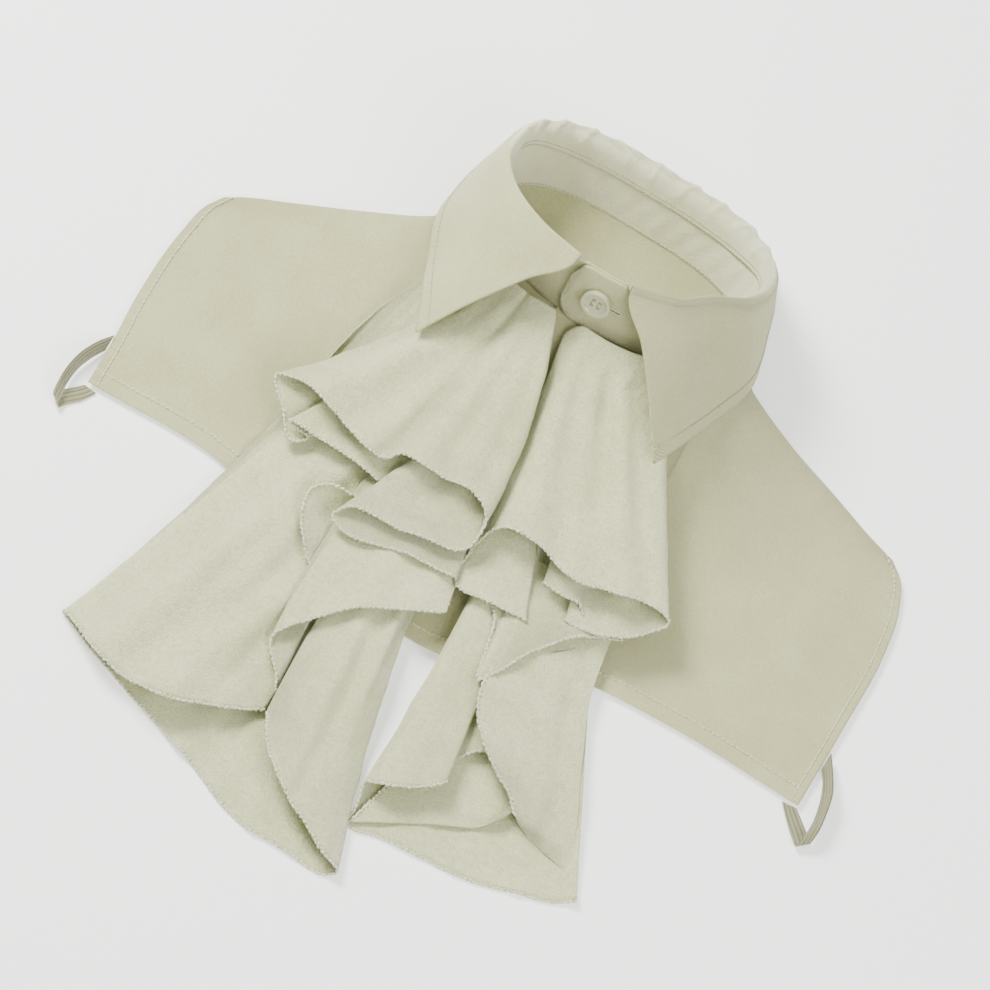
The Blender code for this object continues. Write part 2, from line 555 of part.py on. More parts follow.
# The inner ruffle on the right rolls sideways, so its table goes down the roll: the edge that lies on
# top, the fold at the right and the layer that runs back underneath.
# Columns: place, top edge across, down, lift, fold across, down, lift, under edge across, down, lift
INNER_RIGHT = (
    ("root", 4.6, 7.2, 0.62, 5.7, 7.3, 0.42, 5.0, 7.7, 0.20),
    ("upper", 6.1, 10.0, 0.80, 7.2, 10.2, 0.62, 6.4, 10.6, 0.44),
    ("hidden", 8.0, 12.9, 0.95, 8.6, 13.0, 0.70, 7.2, 13.4, 0.50),
    ("first", 7.7, 14.6, 1.10, 8.95, 14.8, 0.75, 6.7, 15.2, 0.50),
    ("second", 5.9, 16.2, 1.30, 8.95, 16.8, 0.80, 5.8, 17.2, 0.50),
    ("third", 4.95, 18.4, 1.60, 9.0, 18.7, 0.80, 5.2, 19.4, 0.48),
    ("fourth", 5.8, 20.5, 1.55, 9.2, 20.6, 0.78, 4.9, 21.4, 0.46),
    ("fifth", 7.1, 21.6, 1.30, 9.35, 22.0, 0.76, 4.6, 23.4, 0.46),
    ("sixth", 8.6, 22.5, 1.05, 9.45, 23.0, 0.72, 4.2, 25.2, 0.44),
    ("tip", 9.3, 23.5, 0.78, 8.4, 24.7, 0.54, 3.6, 26.9, 0.36),
)


def ruffle_ground(across, down):
    """What the ruffles lie on: the panels' lapped fronts, then the surface beyond the hem."""
    beyond = ease(GROUND_STARTS_DOWN, GROUND_REACHED, down)
    return panel_height(across, down) + mix(LAPPED_FRONTS, -FLAT_HEIGHT, beyond)


def lay_ruffle(point):
    return lay(point.x, point.y, ruffle_ground(point.x, point.y) + point.z)


def ruffle(name, table, material):
    """A flounce that fans from its roots to its hem, one fold line after another."""
    lines = []
    for place, root_across, root_down, root_lift, bow, hem_across, hem_down, hem_lift in table:
        root = Vector((root_across, root_down, root_lift))
        hem = Vector((hem_across, hem_down, hem_lift))
        line = []
        for share in RUFFLE_SHARES:
            point = root.lerp(hem, share)
            point.x += bow * 4.0 * share * (1.0 - share)
            line.append(point)
        lines.append(line)
    columns = [spline(column, RUFFLE_SPANS) for column in zip(*lines)]
    rows = [[lay_ruffle(point) for point in line] for line in zip(*columns)]
    return cloth_wall(name, rows, RUFFLE_CLOTH, material)


def rolled_ruffle(name, table, material):
    """A flounce rolled sideways: over from its top edge to the fold, and back underneath."""
    sections = []
    for place, *numbers in table:
        edge, fold, under = (Vector(numbers[k:k + 3]) for k in (0, 3, 6))
        depth = (edge.z - under.z) * 0.5
        turn = Vector((fold.x, fold.y, mix(edge.z, under.z, 0.5)))
        above = mix(edge, fold, ROLL_SHARE)
        above.z = max(edge.z, turn.z + depth * ROLL_CROWN)
        below = mix(under, fold, ROLL_SHARE)
        below.z = under.z
        sections.append([edge, above, turn, below, under])
    columns = [spline(column, 2) for column in zip(*[spline(section, 3) for section in sections])]
    rows = [[lay_ruffle(point) for point in line] for line in zip(*columns)]
    return cloth_wall(name, rows, RUFFLE_CLOTH, material)


# The elastic loops: a flat band that leaves the side seam, folds and returns to the hem corner.
# Columns: place, outer edge across, down, height, inner edge across, down, height
LEFT_LOOP = (
    ("side", -19.02, 13.45, 0.40, -19.02, 14.30, 0.10),
    ("out", -19.50, 14.10, 0.75, -19.35, 14.90, 0.14),
    ("bend", -19.95, 15.10, 0.95, -19.62, 15.60, 0.14),
    ("down", -20.10, 16.00, 0.90, -19.72, 16.30, 0.14),
    ("fold", -20.10, 16.80, 0.75, -19.62, 17.20, 0.48),
    ("crease", -20.02, 17.30, 0.38, -19.46, 17.75, 0.30),
    ("under", -19.80, 17.00, 0.08, -19.20, 17.45, 0.08),
    ("back", -19.35, 16.60, 0.07, -18.75, 17.00, 0.07),
    ("corner", -18.95, 16.22, 0.07, -18.30, 16.28, 0.07),
)
RIGHT_LOOP = (
    ("side", 20.93, 12.95, 0.40, 20.93, 13.85, 0.10),
    ("out", 21.45, 13.70, 0.75, 21.35, 14.45, 0.14),
    ("bend", 21.95, 14.60, 0.95, 21.65, 15.20, 0.14),
    ("down", 22.15, 15.50, 0.90, 21.80, 15.90, 0.14),
    ("fold", 22.25, 16.60, 0.75, 21.78, 17.00, 0.48),
    ("crease", 22.20, 17.15, 0.38, 21.66, 17.60, 0.30),
    ("under", 21.90, 16.90, 0.08, 21.30, 17.35, 0.08),
    ("back", 21.40, 16.50, 0.07, 20.80, 16.90, 0.07),
    ("corner", 20.80, 16.06, 0.07, 20.05, 16.12, 0.07),
)


def elastic_loop(name, table, material):
    outer = spline([Vector(row[1:4]) for row in table], 3)
    inner = spline([Vector(row[4:7]) for row in table], 3)
    rows = [[lay(*edge.lerp(other, share)) for share in (0.0, 0.5, 1.0)] for edge, other in zip(outer, inner)]
    return cloth_wall(name, rows, ELASTIC, material)


def right_lap(across, down):
    """The right front lies on the left one at the placket."""
    return PLACKET_LAP * (1.0 - ease(LAP_INNER, LAP_OUTER, across)) * ease(LAP_FIRST_DOWN, LAP_LAST_DOWN, down)


def left_lap(across, down):
    """At the neck the left front passes below the right one."""
    return -PLACKET_LAP * ease(-LAP_OUTER, -LAP_INNER, across) * (1.0 - ease(LAP_FIRST_DOWN, LAP_LAST_DOWN, down))


def main():
    for old in list(bpy.data.objects):
        bpy.data.objects.remove(old, do_unlink=True)
    poplin = new_material("poplin", (0.55, 0.54, 0.42), 0.85)
    crepe = new_material("crepe", (0.65, 0.66, 0.53), 0.55)
    plastic = new_material("button_plastic", (0.68, 0.69, 0.58), 0.25)
    knit = new_material("elastic_knit", (0.52, 0.50, 0.36), 0.8)
    left_neck = neck_outline(-84.0, 8.6, 14)
    right_neck = neck_outline(-12.9, 84.0, 14)
    back_panel(poplin)
    front_panel("front_panel_left", LEFT_SHOULDER + left_neck, LEFT_SIDE, UNDER_PLACKET_ACROSS,
                left_lap, poplin)
    front_panel("front_panel_right", right_neck + RIGHT_SHOULDER, RIGHT_SIDE, PLACKET_ACROSS,
                right_lap, poplin)
    collar_stand(poplin)
    collar_leaf(poplin)
    collar_button(plastic)
    ruffle("upper_ruffle_left", UPPER_LEFT, crepe)
    ruffle("upper_ruffle_right", UPPER_RIGHT, crepe)
    ruffle("inner_ruffle_left", INNER_LEFT, crepe)
    ruffle("lower_ruffle_left", LOWER_LEFT, crepe)
    rolled_ruffle("inner_ruffle_right", INNER_RIGHT, crepe)
    ruffle("lower_ruffle_right", LOWER_RIGHT, crepe)
    elastic_loop("elastic_left", LEFT_LOOP, knit)
    elastic_loop("elastic_right", RIGHT_LOOP, knit)


main()
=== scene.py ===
# %% [markdown]
# # A ruffled collar laid on its back
# This is a detachable shirt collar: a small bib in front and behind, a buttoned stand, a leaf that
# folds down to two points, and a jabot of two cascading tiers of ruffles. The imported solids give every
# piece its place. Here each piece of cloth gets a fine thin shell on the same form, with its stitching,
# its overlocked edges, its creases and its finish.

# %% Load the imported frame
import math

import bpy
import numpy as np
from mathutils import Matrix, Vector


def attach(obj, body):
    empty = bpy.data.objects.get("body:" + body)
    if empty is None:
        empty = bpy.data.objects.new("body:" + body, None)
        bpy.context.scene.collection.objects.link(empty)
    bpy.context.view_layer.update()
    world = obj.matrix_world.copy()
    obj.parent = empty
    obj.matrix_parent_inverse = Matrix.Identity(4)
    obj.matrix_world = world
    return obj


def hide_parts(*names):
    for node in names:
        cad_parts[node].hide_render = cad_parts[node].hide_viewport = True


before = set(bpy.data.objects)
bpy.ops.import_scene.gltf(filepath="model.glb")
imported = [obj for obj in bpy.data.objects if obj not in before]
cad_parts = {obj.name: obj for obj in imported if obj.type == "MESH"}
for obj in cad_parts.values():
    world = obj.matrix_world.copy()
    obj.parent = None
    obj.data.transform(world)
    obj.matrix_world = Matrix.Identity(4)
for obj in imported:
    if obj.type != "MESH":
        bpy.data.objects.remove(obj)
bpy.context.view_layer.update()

# %% [markdown]
# ## One drawing for every outline
# A pattern maker draws a laid-out garment from above. The drawing plane here leans 62 degrees from the
# table, as the picture looks at the collar, so an outline point is (across, down, height) in
# centimetres, with its zero at the button. One function lays such points in the world. It works on
# whole arrays at once, which keeps thousands of points quick.

# %% From the drawing to the world
CM = 0.01
VIEW_LEAN = math.radians(62.0)
DRAWING_ZERO = -3.82
ORIGIN_TO_NAPE = 13.0


def lay(points):
    """Drawing points (across, down, height) as places measured from the nape seam, in centimetres."""
    points = np.asarray(points, dtype=float)
    across, down, height = points[..., 0], points[..., 1], points[..., 2]
    depth = (DRAWING_ZERO - down - math.cos(VIEW_LEAN) * height) / math.sin(VIEW_LEAN)
    return np.stack([across, depth, height], axis=-1)


def metres(points):
    """Places in centimetres from the nape seam, as metres from the part's origin."""
    return (np.asarray(points, dtype=float) + np.array([0.0, ORIGIN_TO_NAPE, 0.0])) * CM


def mix(low, high, share):
    """A straight blend from low at share 0 to high at share 1."""
    return low + (high - low) * share


def ease(low, high, value):
    """A soft step from 0 at low to 1 at high."""
    share = np.clip((value - low) / (high - low), 0.0, 1.0)
    return share * share * (3.0 - 2.0 * share)


# %% [markdown]
# ## Camera, light and floor
# The camera comes first, because every later choice is judged through it. It looks down at 62 degrees
# from the collar's front, and it is rolled 31 degrees, so the collar lies askew in the frame. A long
# lens keeps the outlines nearly parallel, as they are in the picture.

# %% Camera
CAMERA_ROLL = math.radians(31.0)
CAMERA_DISTANCE = 6.0
FRAME_WIDTH = 0.476
SENSOR = 36.0
AIM = (0.65, 10.6, 2.0)

aim = Vector(metres(lay(AIM)))
towards_camera = Vector((0.0, -math.cos(VIEW_LEAN), math.sin(VIEW_LEAN)))
drawing_up = Vector((0.0, math.sin(VIEW_LEAN), math.cos(VIEW_LEAN)))
drawing_right = Vector((1.0, 0.0, 0.0))
image_right = drawing_right * math.cos(CAMERA_ROLL) + drawing_up * math.sin(CAMERA_ROLL)
image_up = drawing_up * math.cos(CAMERA_ROLL) - drawing_right * math.sin(CAMERA_ROLL)

bpy.ops.object.camera_add()
camera = bpy.context.object
camera.name = "camera"
camera.data.sensor_width = SENSOR
camera.data.lens = SENSOR * CAMERA_DISTANCE / FRAME_WIDTH
camera.data.clip_end = 50.0
turn = Matrix((image_right, image_up, towards_camera)).transposed().to_4x4()
camera.matrix_world = Matrix.Translation(aim + towards_camera * CAMERA_DISTANCE) @ turn
bpy.context.scene.camera = camera


# %% Light and floor
def area_light(name, place, size, power, colour):
    """A square soft box that faces the collar. place is across the image, up it, and off it."""
    across, up, off = place
    where = aim + image_right * across + image_up * up + towards_camera * off
    bpy.ops.object.light_add(type="AREA", location=where)
    light = bpy.context.object
    light.name = name
    light.data.size = size
    light.data.energy = power
    light.data.color = colour
    light.rotation_euler = (where - aim).to_track_quat("Z", "Y").to_euler()


area_light("key", (-0.50, 1.40, 0.80), 0.6, 64.0, (1.0, 0.99, 0.95))
area_light("fill", (1.0, -0.6, 1.5), 1.2, 32.0, (1.0, 1.0, 0.97))

world = bpy.data.worlds.new("studio")
world.use_nodes = True
world.node_tree.nodes["Background"].inputs["Color"].default_value = (1.0, 1.0, 1.0, 1.0)
world.node_tree.nodes["Background"].inputs["Strength"].default_value = 0.76
bpy.context.scene.world = world

bpy.ops.object.select_all(action="DESELECT")
bpy.ops.mesh.primitive_plane_add(size=12.0, location=(0.0, 0.0, -0.0002))
floor = bpy.context.object
floor.name = "floor"

# %% [markdown]
# ## Shader maths that reads like maths
# A cloth's colour and bump are sums and products of textures. Wrapping a socket in a small class lets
# Python's own operators add the Math nodes, so an expression reads as it would on paper.


# %% The socket wrapper
class Value:
    """A number that changes over the surface, with Python's operators as Math nodes."""

    def __init__(self, tree, socket):
        self.tree = tree
        self.socket = socket

    def _math(self, operation, first, second=0.0):
        node = self.tree.nodes.new("ShaderNodeMath")
        node.operation = operation
        for slot, item in zip(node.inputs, (first, second)):
            if isinstance(item, Value):
                self.tree.links.new(item.socket, slot)
            else:
                slot.default_value = item
        return Value(self.tree, node.outputs[0])

    def __add__(self, other):
        return self._math("ADD", self, other)

    __radd__ = __add__

    def __sub__(self, other):
        return self._math("SUBTRACT", self, other)

    def __rsub__(self, other):
        return self._math("SUBTRACT", other, self)

    def __mul__(self, other):
        return self._math("MULTIPLY", self, other)

    __rmul__ = __mul__

    def sine(self):
        return self._math("SINE", self)

    def size(self):
        return self._math("ABSOLUTE", self)


class Finish:
    """A material with one Principled shader, and a short way to add any other node."""

    def __init__(self, name, roughness, **constants):
        self.material = bpy.data.materials.new(name)
        self.material.use_nodes = True
        self.tree = self.material.node_tree
        self.shader = self.tree.nodes["Principled BSDF"]
        self.shader.inputs["Roughness"].default_value = roughness
        for label, number in constants.items():
            self.shader.inputs[label.replace("_", " ")].default_value = number
        self.places = self.tree.nodes.new("ShaderNodeTexCoord")

    def node(self, kind, settings=None, **sockets):
        made = self.tree.nodes.new(kind)
        for label, setting in (settings or {}).items():
            setattr(made, label, setting)
        for label, item in sockets.items():
            slot = made.inputs[label.replace("_", " ")]
            if isinstance(item, Value):
                self.tree.links.new(item.socket, slot)
            elif isinstance(item, bpy.types.NodeSocket):
                self.tree.links.new(item, slot)
            else:
                slot.default_value = item
        return made

    def noise(self, scale, detail=2.0, roughness=0.5):
        source = self.places.outputs["Object"]
        made = self.node("ShaderNodeTexNoise", Vector=source, Scale=scale, Detail=detail,
                         Roughness=roughness)
        return Value(self.tree, made.outputs["Fac"])

    def speckle(self, scale, gain, detail=2.0):
        """Noise about zero, with its swing set by gain."""
        return (self.noise(scale, detail, 0.6) - 0.5) * gain

    def depth_place(self):
        """How far back a point is, in metres: from 0.04 at the collar's front to 0.14 at the nape."""
        split = self.node("ShaderNodeSeparateXYZ", Vector=self.places.outputs["Object"])
        return Value(self.tree, split.outputs["Y"])

    def across_and_along(self):
        """The piece's own UV map, which holds centimetres of cloth."""
        split = self.node("ShaderNodeSeparateXYZ", Vector=self.places.outputs["UV"])
        return Value(self.tree, split.outputs["X"]), Value(self.tree, split.outputs["Y"])

    def blend(self, low, high, share):
        """Mixes two colours, each given as numbers or as another blend's output."""
        made = self.node("ShaderNodeMix", {"data_type": "RGBA"})
        for slot, item in zip((made.inputs[6], made.inputs[7]), (low, high)):
            if isinstance(item, bpy.types.NodeSocket):
                self.tree.links.new(item, slot)
            else:
                slot.default_value = (*item, 1.0)
        self.tree.links.new(share.socket, made.inputs[0])
        return made.outputs[2]

    def colour(self, low, high, share):
        self.tree.links.new(self.blend(low, high, share), self.shader.inputs["Base Color"])

    def roughness(self, value):
        self.tree.links.new(value.socket, self.shader.inputs["Roughness"])

    def bump(self, height, distance, strength=1.0):
        made = self.node("ShaderNodeBump", Height=height, Distance=distance, Strength=strength)
        self.tree.links.new(made.outputs["Normal"], self.shader.inputs["Normal"])


# %% [markdown]
# ## Cloth finishes
# The bib, stand and leaf are a matte cotton poplin, a little mottled from handling. The ruffles are a
# softer crepe with a satin back: lighter, with a low broad sheen and a fine pebbled grain. Both read
# the piece's UV map in centimetres, so the weave follows the cloth, at its real count, round each fold.

# %% Finishes
POPLIN_LOW = (0.56, 0.56, 0.27)
POPLIN_HIGH = (0.69, 0.69, 0.37)
# Painted light: the inside of the stand and of the leaf's fold is coloured lighter, for the light that
# falls on it
INSIDE_PAINTED_LIGHT_LOW = (0.91, 0.92, 0.54)
INSIDE_PAINTED_LIGHT_HIGH = (0.99, 0.99, 0.70)
CREPE_LOW = (0.62, 0.645, 0.32)
CREPE_HIGH = (0.86, 0.885, 0.54)
THREADS_PER_CM = 26.0
NAPE_STARTS = 0.085
PAINTED_LIGHT_EDGE = 2.5
ALL_OVER = 1000.0


def woven(finish, count):
    """The over and under of a plain weave with so many threads to the centimetre."""
    across, along = finish.across_and_along()
    turn_per_cm = math.tau * count
    return (across * turn_per_cm).sine() * 0.5 + (along * turn_per_cm).sine() * 0.5


def poplin_finish(name="poplin", painted_light_up_to=0.0, painted_light_growth=0.0):
    """The inner side of the stand and of the leaf's fold takes painted light: it is lighter up to a
    distance from the seam, in centimetres, that may grow towards the nape."""
    finish = Finish(name, 0.82, Specular_IOR_Level=0.25, Sheen_Weight=0.25, Sheen_Roughness=0.5)
    blotch = finish.speckle(26.0, 1.3, 4.0)
    grain = finish.speckle(700.0, 1.5)
    base_tone = finish.blend(POPLIN_LOW, POPLIN_HIGH, blotch + grain + 0.5)
    # Painted light: the second, lighter blend lights the inner walls
    painted_lit = finish.blend(INSIDE_PAINTED_LIGHT_LOW, INSIDE_PAINTED_LIGHT_HIGH, blotch * 1.4 + grain + 0.5)
    along = finish.across_and_along()[1]
    limit = (finish.depth_place() - NAPE_STARTS) * painted_light_growth + painted_light_up_to
    finish.colour(base_tone, painted_lit, (limit - along) * PAINTED_LIGHT_EDGE)
    finish.roughness(0.82 + grain * 0.10)
    finish.bump(woven(finish, THREADS_PER_CM) * 0.3 + grain * 0.8 + blotch * 1.2, 0.0005)
    return finish.material


def crepe_finish():
    finish = Finish("crepe", 0.42, Specular_IOR_Level=0.5, Sheen_Weight=0.35, Sheen_Roughness=0.35)
    drift = finish.speckle(30.0, 0.9, 3.0)
    pebble = finish.speckle(1100.0, 2.2)
    slub = finish.speckle(380.0, 1.0)
    finish.colour(CREPE_LOW, CREPE_HIGH, drift + slub + pebble + 0.5)
    finish.roughness(0.42 + pebble * 0.12)
    finish.bump(pebble * 0.9 + slub * 0.6 + woven(finish, THREADS_PER_CM) * 0.2, 0.0006)
    return finish.material


def thread_finish(name, low, high):
    finish = Finish(name, 0.7, Sheen_Weight=0.3)
    fuzz = finish.speckle(900.0, 3.2, 3.0)
    finish.colour(low, high, fuzz + 0.5)
    finish.bump(fuzz, 0.0004)
    return finish.material


def elastic_finish():
    finish = Finish("elastic_knit", 0.8, Sheen_Weight=0.3)
    across, along = finish.across_and_along()
    knit = (along * (math.tau * 9.0)).sine().size()
    rib = (across * (math.tau * 2.2)).sine().size()
    finish.colour((0.10, 0.10, 0.035), (0.37, 0.37, 0.20), rib * 0.75 + knit * 0.25)
    finish.bump(knit * 0.6 + rib * 0.6, 0.0003)
    return finish.material


def button_finish():
    finish = Finish("button_resin", 0.18, Specular_IOR_Level=0.7, Subsurface_Weight=0.2,
                    Subsurface_Scale=0.002, Coat_Weight=0.4)
    cloud = finish.noise(160.0, 3.0, 0.5)
    finish.colour((0.32, 0.33, 0.19), (0.56, 0.57, 0.37), cloud)
    finish.roughness(0.18 + cloud * 0.12)
    finish.bump(cloud, 0.0001)
    return finish.material


def floor_finish():
    finish = Finish("paper_floor", 0.9, Emission_Strength=0.6)
    finish.shader.inputs["Emission Color"].default_value = (1.0, 1.0, 1.0, 1.0)
    mist = finish.noise(0.6, 1.0)
    finish.colour((0.93, 0.93, 0.93), (0.95, 0.95, 0.95), mist)
    return finish.material


poplin = poplin_finish()
# The stand's inside, and the leaf's inner band that widens towards the nape, get painted light
poplin_inside_painted_light = poplin_finish("poplin_inside_painted_light", ALL_OVER)
poplin_leaf_painted_light = poplin_finish("poplin_leaf_painted_light", 0.6, 28.0)
crepe = crepe_finish()
slit_shadow = thread_finish("slit_shadow", (0.03, 0.03, 0.01), (0.07, 0.07, 0.03))
stitch_thread = thread_finish("stitch_thread", (0.36, 0.35, 0.20), (0.62, 0.61, 0.44))
hem_thread = thread_finish("hem_thread", (0.62, 0.62, 0.38), (0.90, 0.90, 0.66))
overlock_thread = thread_finish("overlock_thread", (0.46, 0.47, 0.26), (0.92, 0.93, 0.68))
elastic_knit = elastic_finish()
button_resin = button_finish()
floor.data.materials.append(floor_finish())

# %% [markdown]
# ## Smooth curves through few points
# Every outline and every fold line has only the points that its shape needs. A smooth curve fills the
# rest in. Its tangents are weighted by the distance to each neighbour, so that a tight turn next to a
# long straight stretch doesn't swing wide.


# %% The smooth curve
def smooth(points, spans):
    """Fills in a curve, or a stack of curves side by side, along its first direction."""
    points = np.asarray(points, dtype=float)
    gaps = np.diff(points, axis=0)
    steps = np.linalg.norm(gaps, axis=-1, keepdims=True).clip(1e-6)
    slopes = gaps / steps
    inner = (slopes[:-1] * steps[1:] + slopes[1:] * steps[:-1]) / (steps[:-1] + steps[1:])
    tangents = np.concatenate([slopes[:1], inner, slopes[-1:]])
    parts = []
    for part in range(spans):
        t = part / spans
        parts.append(points[:-1] * (2 * t ** 3 - 3 * t ** 2 + 1)
                     + tangents[:-1] * steps * (t ** 3 - 2 * t ** 2 + t)
                     + points[1:] * (3 * t ** 2 - 2 * t ** 3)
                     + tangents[1:] * steps * (t ** 3 - t ** 2))
    filled = np.stack(parts, axis=1).reshape((-1,) + points.shape[1:])
    return np.concatenate([filled, points[-1:]])


def distances(line):
    """How far each point of a line is from its start, along the line."""
    steps = np.linalg.norm(np.diff(line, axis=0), axis=-1)
    return np.concatenate([[0.0], np.cumsum(steps)])


def resample(line, shares):
    """Places on a line at shares of its length. Only the first three columns are measured."""
    reach = distances(line[:, :3])
    columns = [np.interp(shares * reach[-1], reach, line[:, k]) for k in range(line.shape[1])]
    return np.stack(columns, axis=-1)


def ripple(points, seed, length, height):
    """A gentle uneven swell: waves about as long as length, in several directions."""
    wave = np.zeros(points.shape[:-1])
    for k in range(6):
        heading = seed * 1.7 + k * 2.4
        spread = length * (0.7 + 0.13 * ((seed + k * 3) % 7))
        reach = points[..., 0] * math.cos(heading) + points[..., 1] * math.sin(heading)
        wave += np.sin(reach * math.tau / spread + seed * 3.1 + k * 1.3)
    return wave * height / 3.0


def creases(points, table):
    """Soft troughs and ridges, each along a line on the drawing, with its width and its lift."""
    total = np.zeros(points.shape[:-1])
    flat = points[..., :2]
    for _, *numbers in table:
        start, stop = np.array(numbers[0:2]), np.array(numbers[2:4])
        width, lift = numbers[4:6]
        along = stop - start
        share = ((flat - start) @ along) / (along @ along)
        nearest = start + np.clip(share, 0.0, 1.0)[..., None] * along
        away = np.linalg.norm(flat - nearest, axis=-1)
        total += lift * np.exp(-(away / width) ** 2)
    return total


# %% [markdown]
# ## A sheet from a grid
# Each cloth piece starts as Blender's own grid, which brings a UV map. Its points are then put on the
# piece's surface, the UV map is rewritten in centimetres of cloth, and Solidify gives the wall its
# thickness on both sides of that surface.


# %% The sheet maker
def finish_sheet(made, thickness, material):
    """Gives a laid grid its wall and its smooth shading."""
    made.data.materials.append(material)
    wall = made.modifiers.new("wall", "SOLIDIFY")
    wall.thickness = thickness * CM
    wall.offset = 0.0
    bpy.ops.object.modifier_apply(modifier=wall.name)
    bpy.ops.object.shade_smooth()


def cloth_sheet(name, points, thickness, material):
    """points is a grid of places, in centimetres from the nape seam."""
    rows, columns = points.shape[0] - 1, points.shape[1] - 1
    bpy.ops.object.select_all(action="DESELECT")
    bpy.ops.mesh.primitive_grid_add(x_subdivisions=columns, y_subdivisions=rows, size=2.0,
                                    calc_uvs=True)
    made = bpy.context.object
    made.name = name
    mesh = made.data
    places = np.empty(len(mesh.vertices) * 3)
    mesh.vertices.foreach_get("co", places)
    places = places.reshape(-1, 3)
    column = np.rint((places[:, 0] + 1.0) * 0.5 * columns).astype(int)
    row = np.rint((places[:, 1] + 1.0) * 0.5 * rows).astype(int)
    mesh.vertices.foreach_set("co", metres(points[row, column]).ravel())
    across = np.zeros(points.shape[:2])
    across[:, 1:] = np.cumsum(np.linalg.norm(np.diff(points, axis=1), axis=-1), axis=1)
    along = np.zeros(points.shape[:2])
    along[1:] = np.cumsum(np.linalg.norm(np.diff(points, axis=0), axis=-1), axis=0)
    corners = np.empty(len(mesh.loops), dtype=int)
    mesh.loops.foreach_get("vertex_index", corners)
    cloth = np.stack([across[row, column], along[row, column]], axis=-1)
    mesh.uv_layers[0].data.foreach_set("uv", cloth[corners].ravel())
    mesh.update()
    finish_sheet(made, thickness, material)
    return made


def settle(piece, *nodes, slot="crepe"):
    """Every piece rides on the one body and may stand for its solid. The slot argument is not used."""
    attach(piece, "root")
    if nodes:
        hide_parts(*nodes)
    print(piece.name, "faces:", len(piece.data.polygons))


def cloth_area(piece):
    """Half of a closed wall's surface, in square metres."""
    return sum(face.area for face in piece.data.polygons) * 0.5


def facing(grid):
    """The direction that each point of a laid grid faces."""
    down_the_grid = np.gradient(grid, axis=0)
    over_the_grid = np.gradient(grid, axis=1)
    normal = np.cross(down_the_grid, over_the_grid)
    return normal / np.linalg.norm(normal, axis=-1, keepdims=True).clip(1e-9)


def raised(grid, amount):
    return grid + facing(grid) * np.asarray(amount)[..., None]


def in_from_last_row(grid, distance):
    """The line that runs a given distance inside the grid's last row, and the way it faces."""
    steps = np.linalg.norm(np.diff(grid[::-1], axis=0), axis=-1)
    reach = np.concatenate([np.zeros((1, grid.shape[1])), np.cumsum(steps, axis=0)])
    normals = facing(grid)[::-1]
    places = []
    ways = []
    for column in range(grid.shape[1]):
        row = int(np.clip(np.searchsorted(reach[:, column], distance), 1, grid.shape[0] - 1))
        share = (distance - reach[row - 1, column]) / (reach[row, column] - reach[row - 1, column])
        places.append(mix(grid[::-1][row - 1, column], grid[::-1][row, column], share))
        ways.append(normals[row, column])
    return np.array(places), np.array(ways)


# %% [markdown]
# ## Thread
# A machine stitch shows as a short raised bar that dives into the cloth at both ends. One poly curve
# per row does this: its bevel gives it a round section, and its point radius and height rise and fall
# along the way. An overlocked edge is the same idea with a fatter, closer beat.

# %% Stitch rows and overlocked edges
STITCH_PITCH = 0.27
STITCH_RADIUS = 0.028
OVERLOCK_PITCH = 0.12
OVERLOCK_RADIUS = 0.075
BEAT_PLACES = np.array([0.0, 0.16, 0.70, 0.86])
BEAT_HEIGHTS = np.array([-0.9, 0.7, 0.7, -0.9])
BEAT_RADII = np.array([0.4, 1.0, 1.0, 0.4])


def tube(name, places, radii, material, roundness):
    """A thread along places, as thick at each as radii says."""
    bpy.ops.object.select_all(action="DESELECT")
    bpy.ops.curve.primitive_nurbs_path_add()
    made = bpy.context.object
    made.name = name
    curve = made.data
    curve.splines.clear()
    thread = curve.splines.new("POLY")
    thread.points.add(len(places) - 1)
    spots = np.concatenate([metres(places), np.ones((len(places), 1))], axis=-1)
    thread.points.foreach_set("co", spots.ravel())
    thread.points.foreach_set("radius", np.asarray(radii, dtype=float))
    curve.bevel_depth = CM
    curve.bevel_resolution = roundness
    curve.use_fill_caps = True
    bpy.ops.object.convert(target="MESH")
    made.data.materials.append(material)
    bpy.ops.object.shade_smooth()
    return made


def length_of(line):
    return float(np.linalg.norm(np.diff(line, axis=0), axis=-1).sum())


def stitch_row(name, line, ways, cloth_half, pitch=STITCH_PITCH, radius=STITCH_RADIUS, thread=None):
    """A row of stitches on top of the cloth."""
    count = max(int(length_of(line) / pitch), 2)
    shares = ((np.arange(count)[:, None] + BEAT_PLACES) / count).ravel()
    both = resample(np.concatenate([line, ways], axis=-1), shares)
    height = cloth_half + radius * np.tile(BEAT_HEIGHTS, count)
    places = both[:, :3] + both[:, 3:] * height[:, None]
    radii = radius * np.tile(BEAT_RADII, count)
    settle(tube(name, places, radii, thread or stitch_thread, 0), slot="poplin")


def overlocked_edge(name, line, slot="crepe", radius=OVERLOCK_RADIUS):
    """The rolled thread border of a cut edge: close loops that swell and sink."""
    count = int(length_of(line) / OVERLOCK_PITCH)
    shares = np.linspace(0.0, 1.0, count * 4 + 1)
    beat = shares * count * math.tau
    places = resample(line, shares)
    places[:, 2] += radius * 0.35 * np.sin(beat * 0.5 + 0.7)
    places[:, 0] += radius * 0.30 * np.sin(beat * 0.31)
    places[:, 1] += radius * 0.30 * np.cos(beat * 0.43)
    places[:, 2] = np.maximum(places[:, 2], radius)
    radii = radius * (0.88 + 0.22 * np.sin(beat) + 0.14 * np.sin(beat * 0.37))
    settle(tube(name, places, radii, overlock_thread, 1), slot=slot)


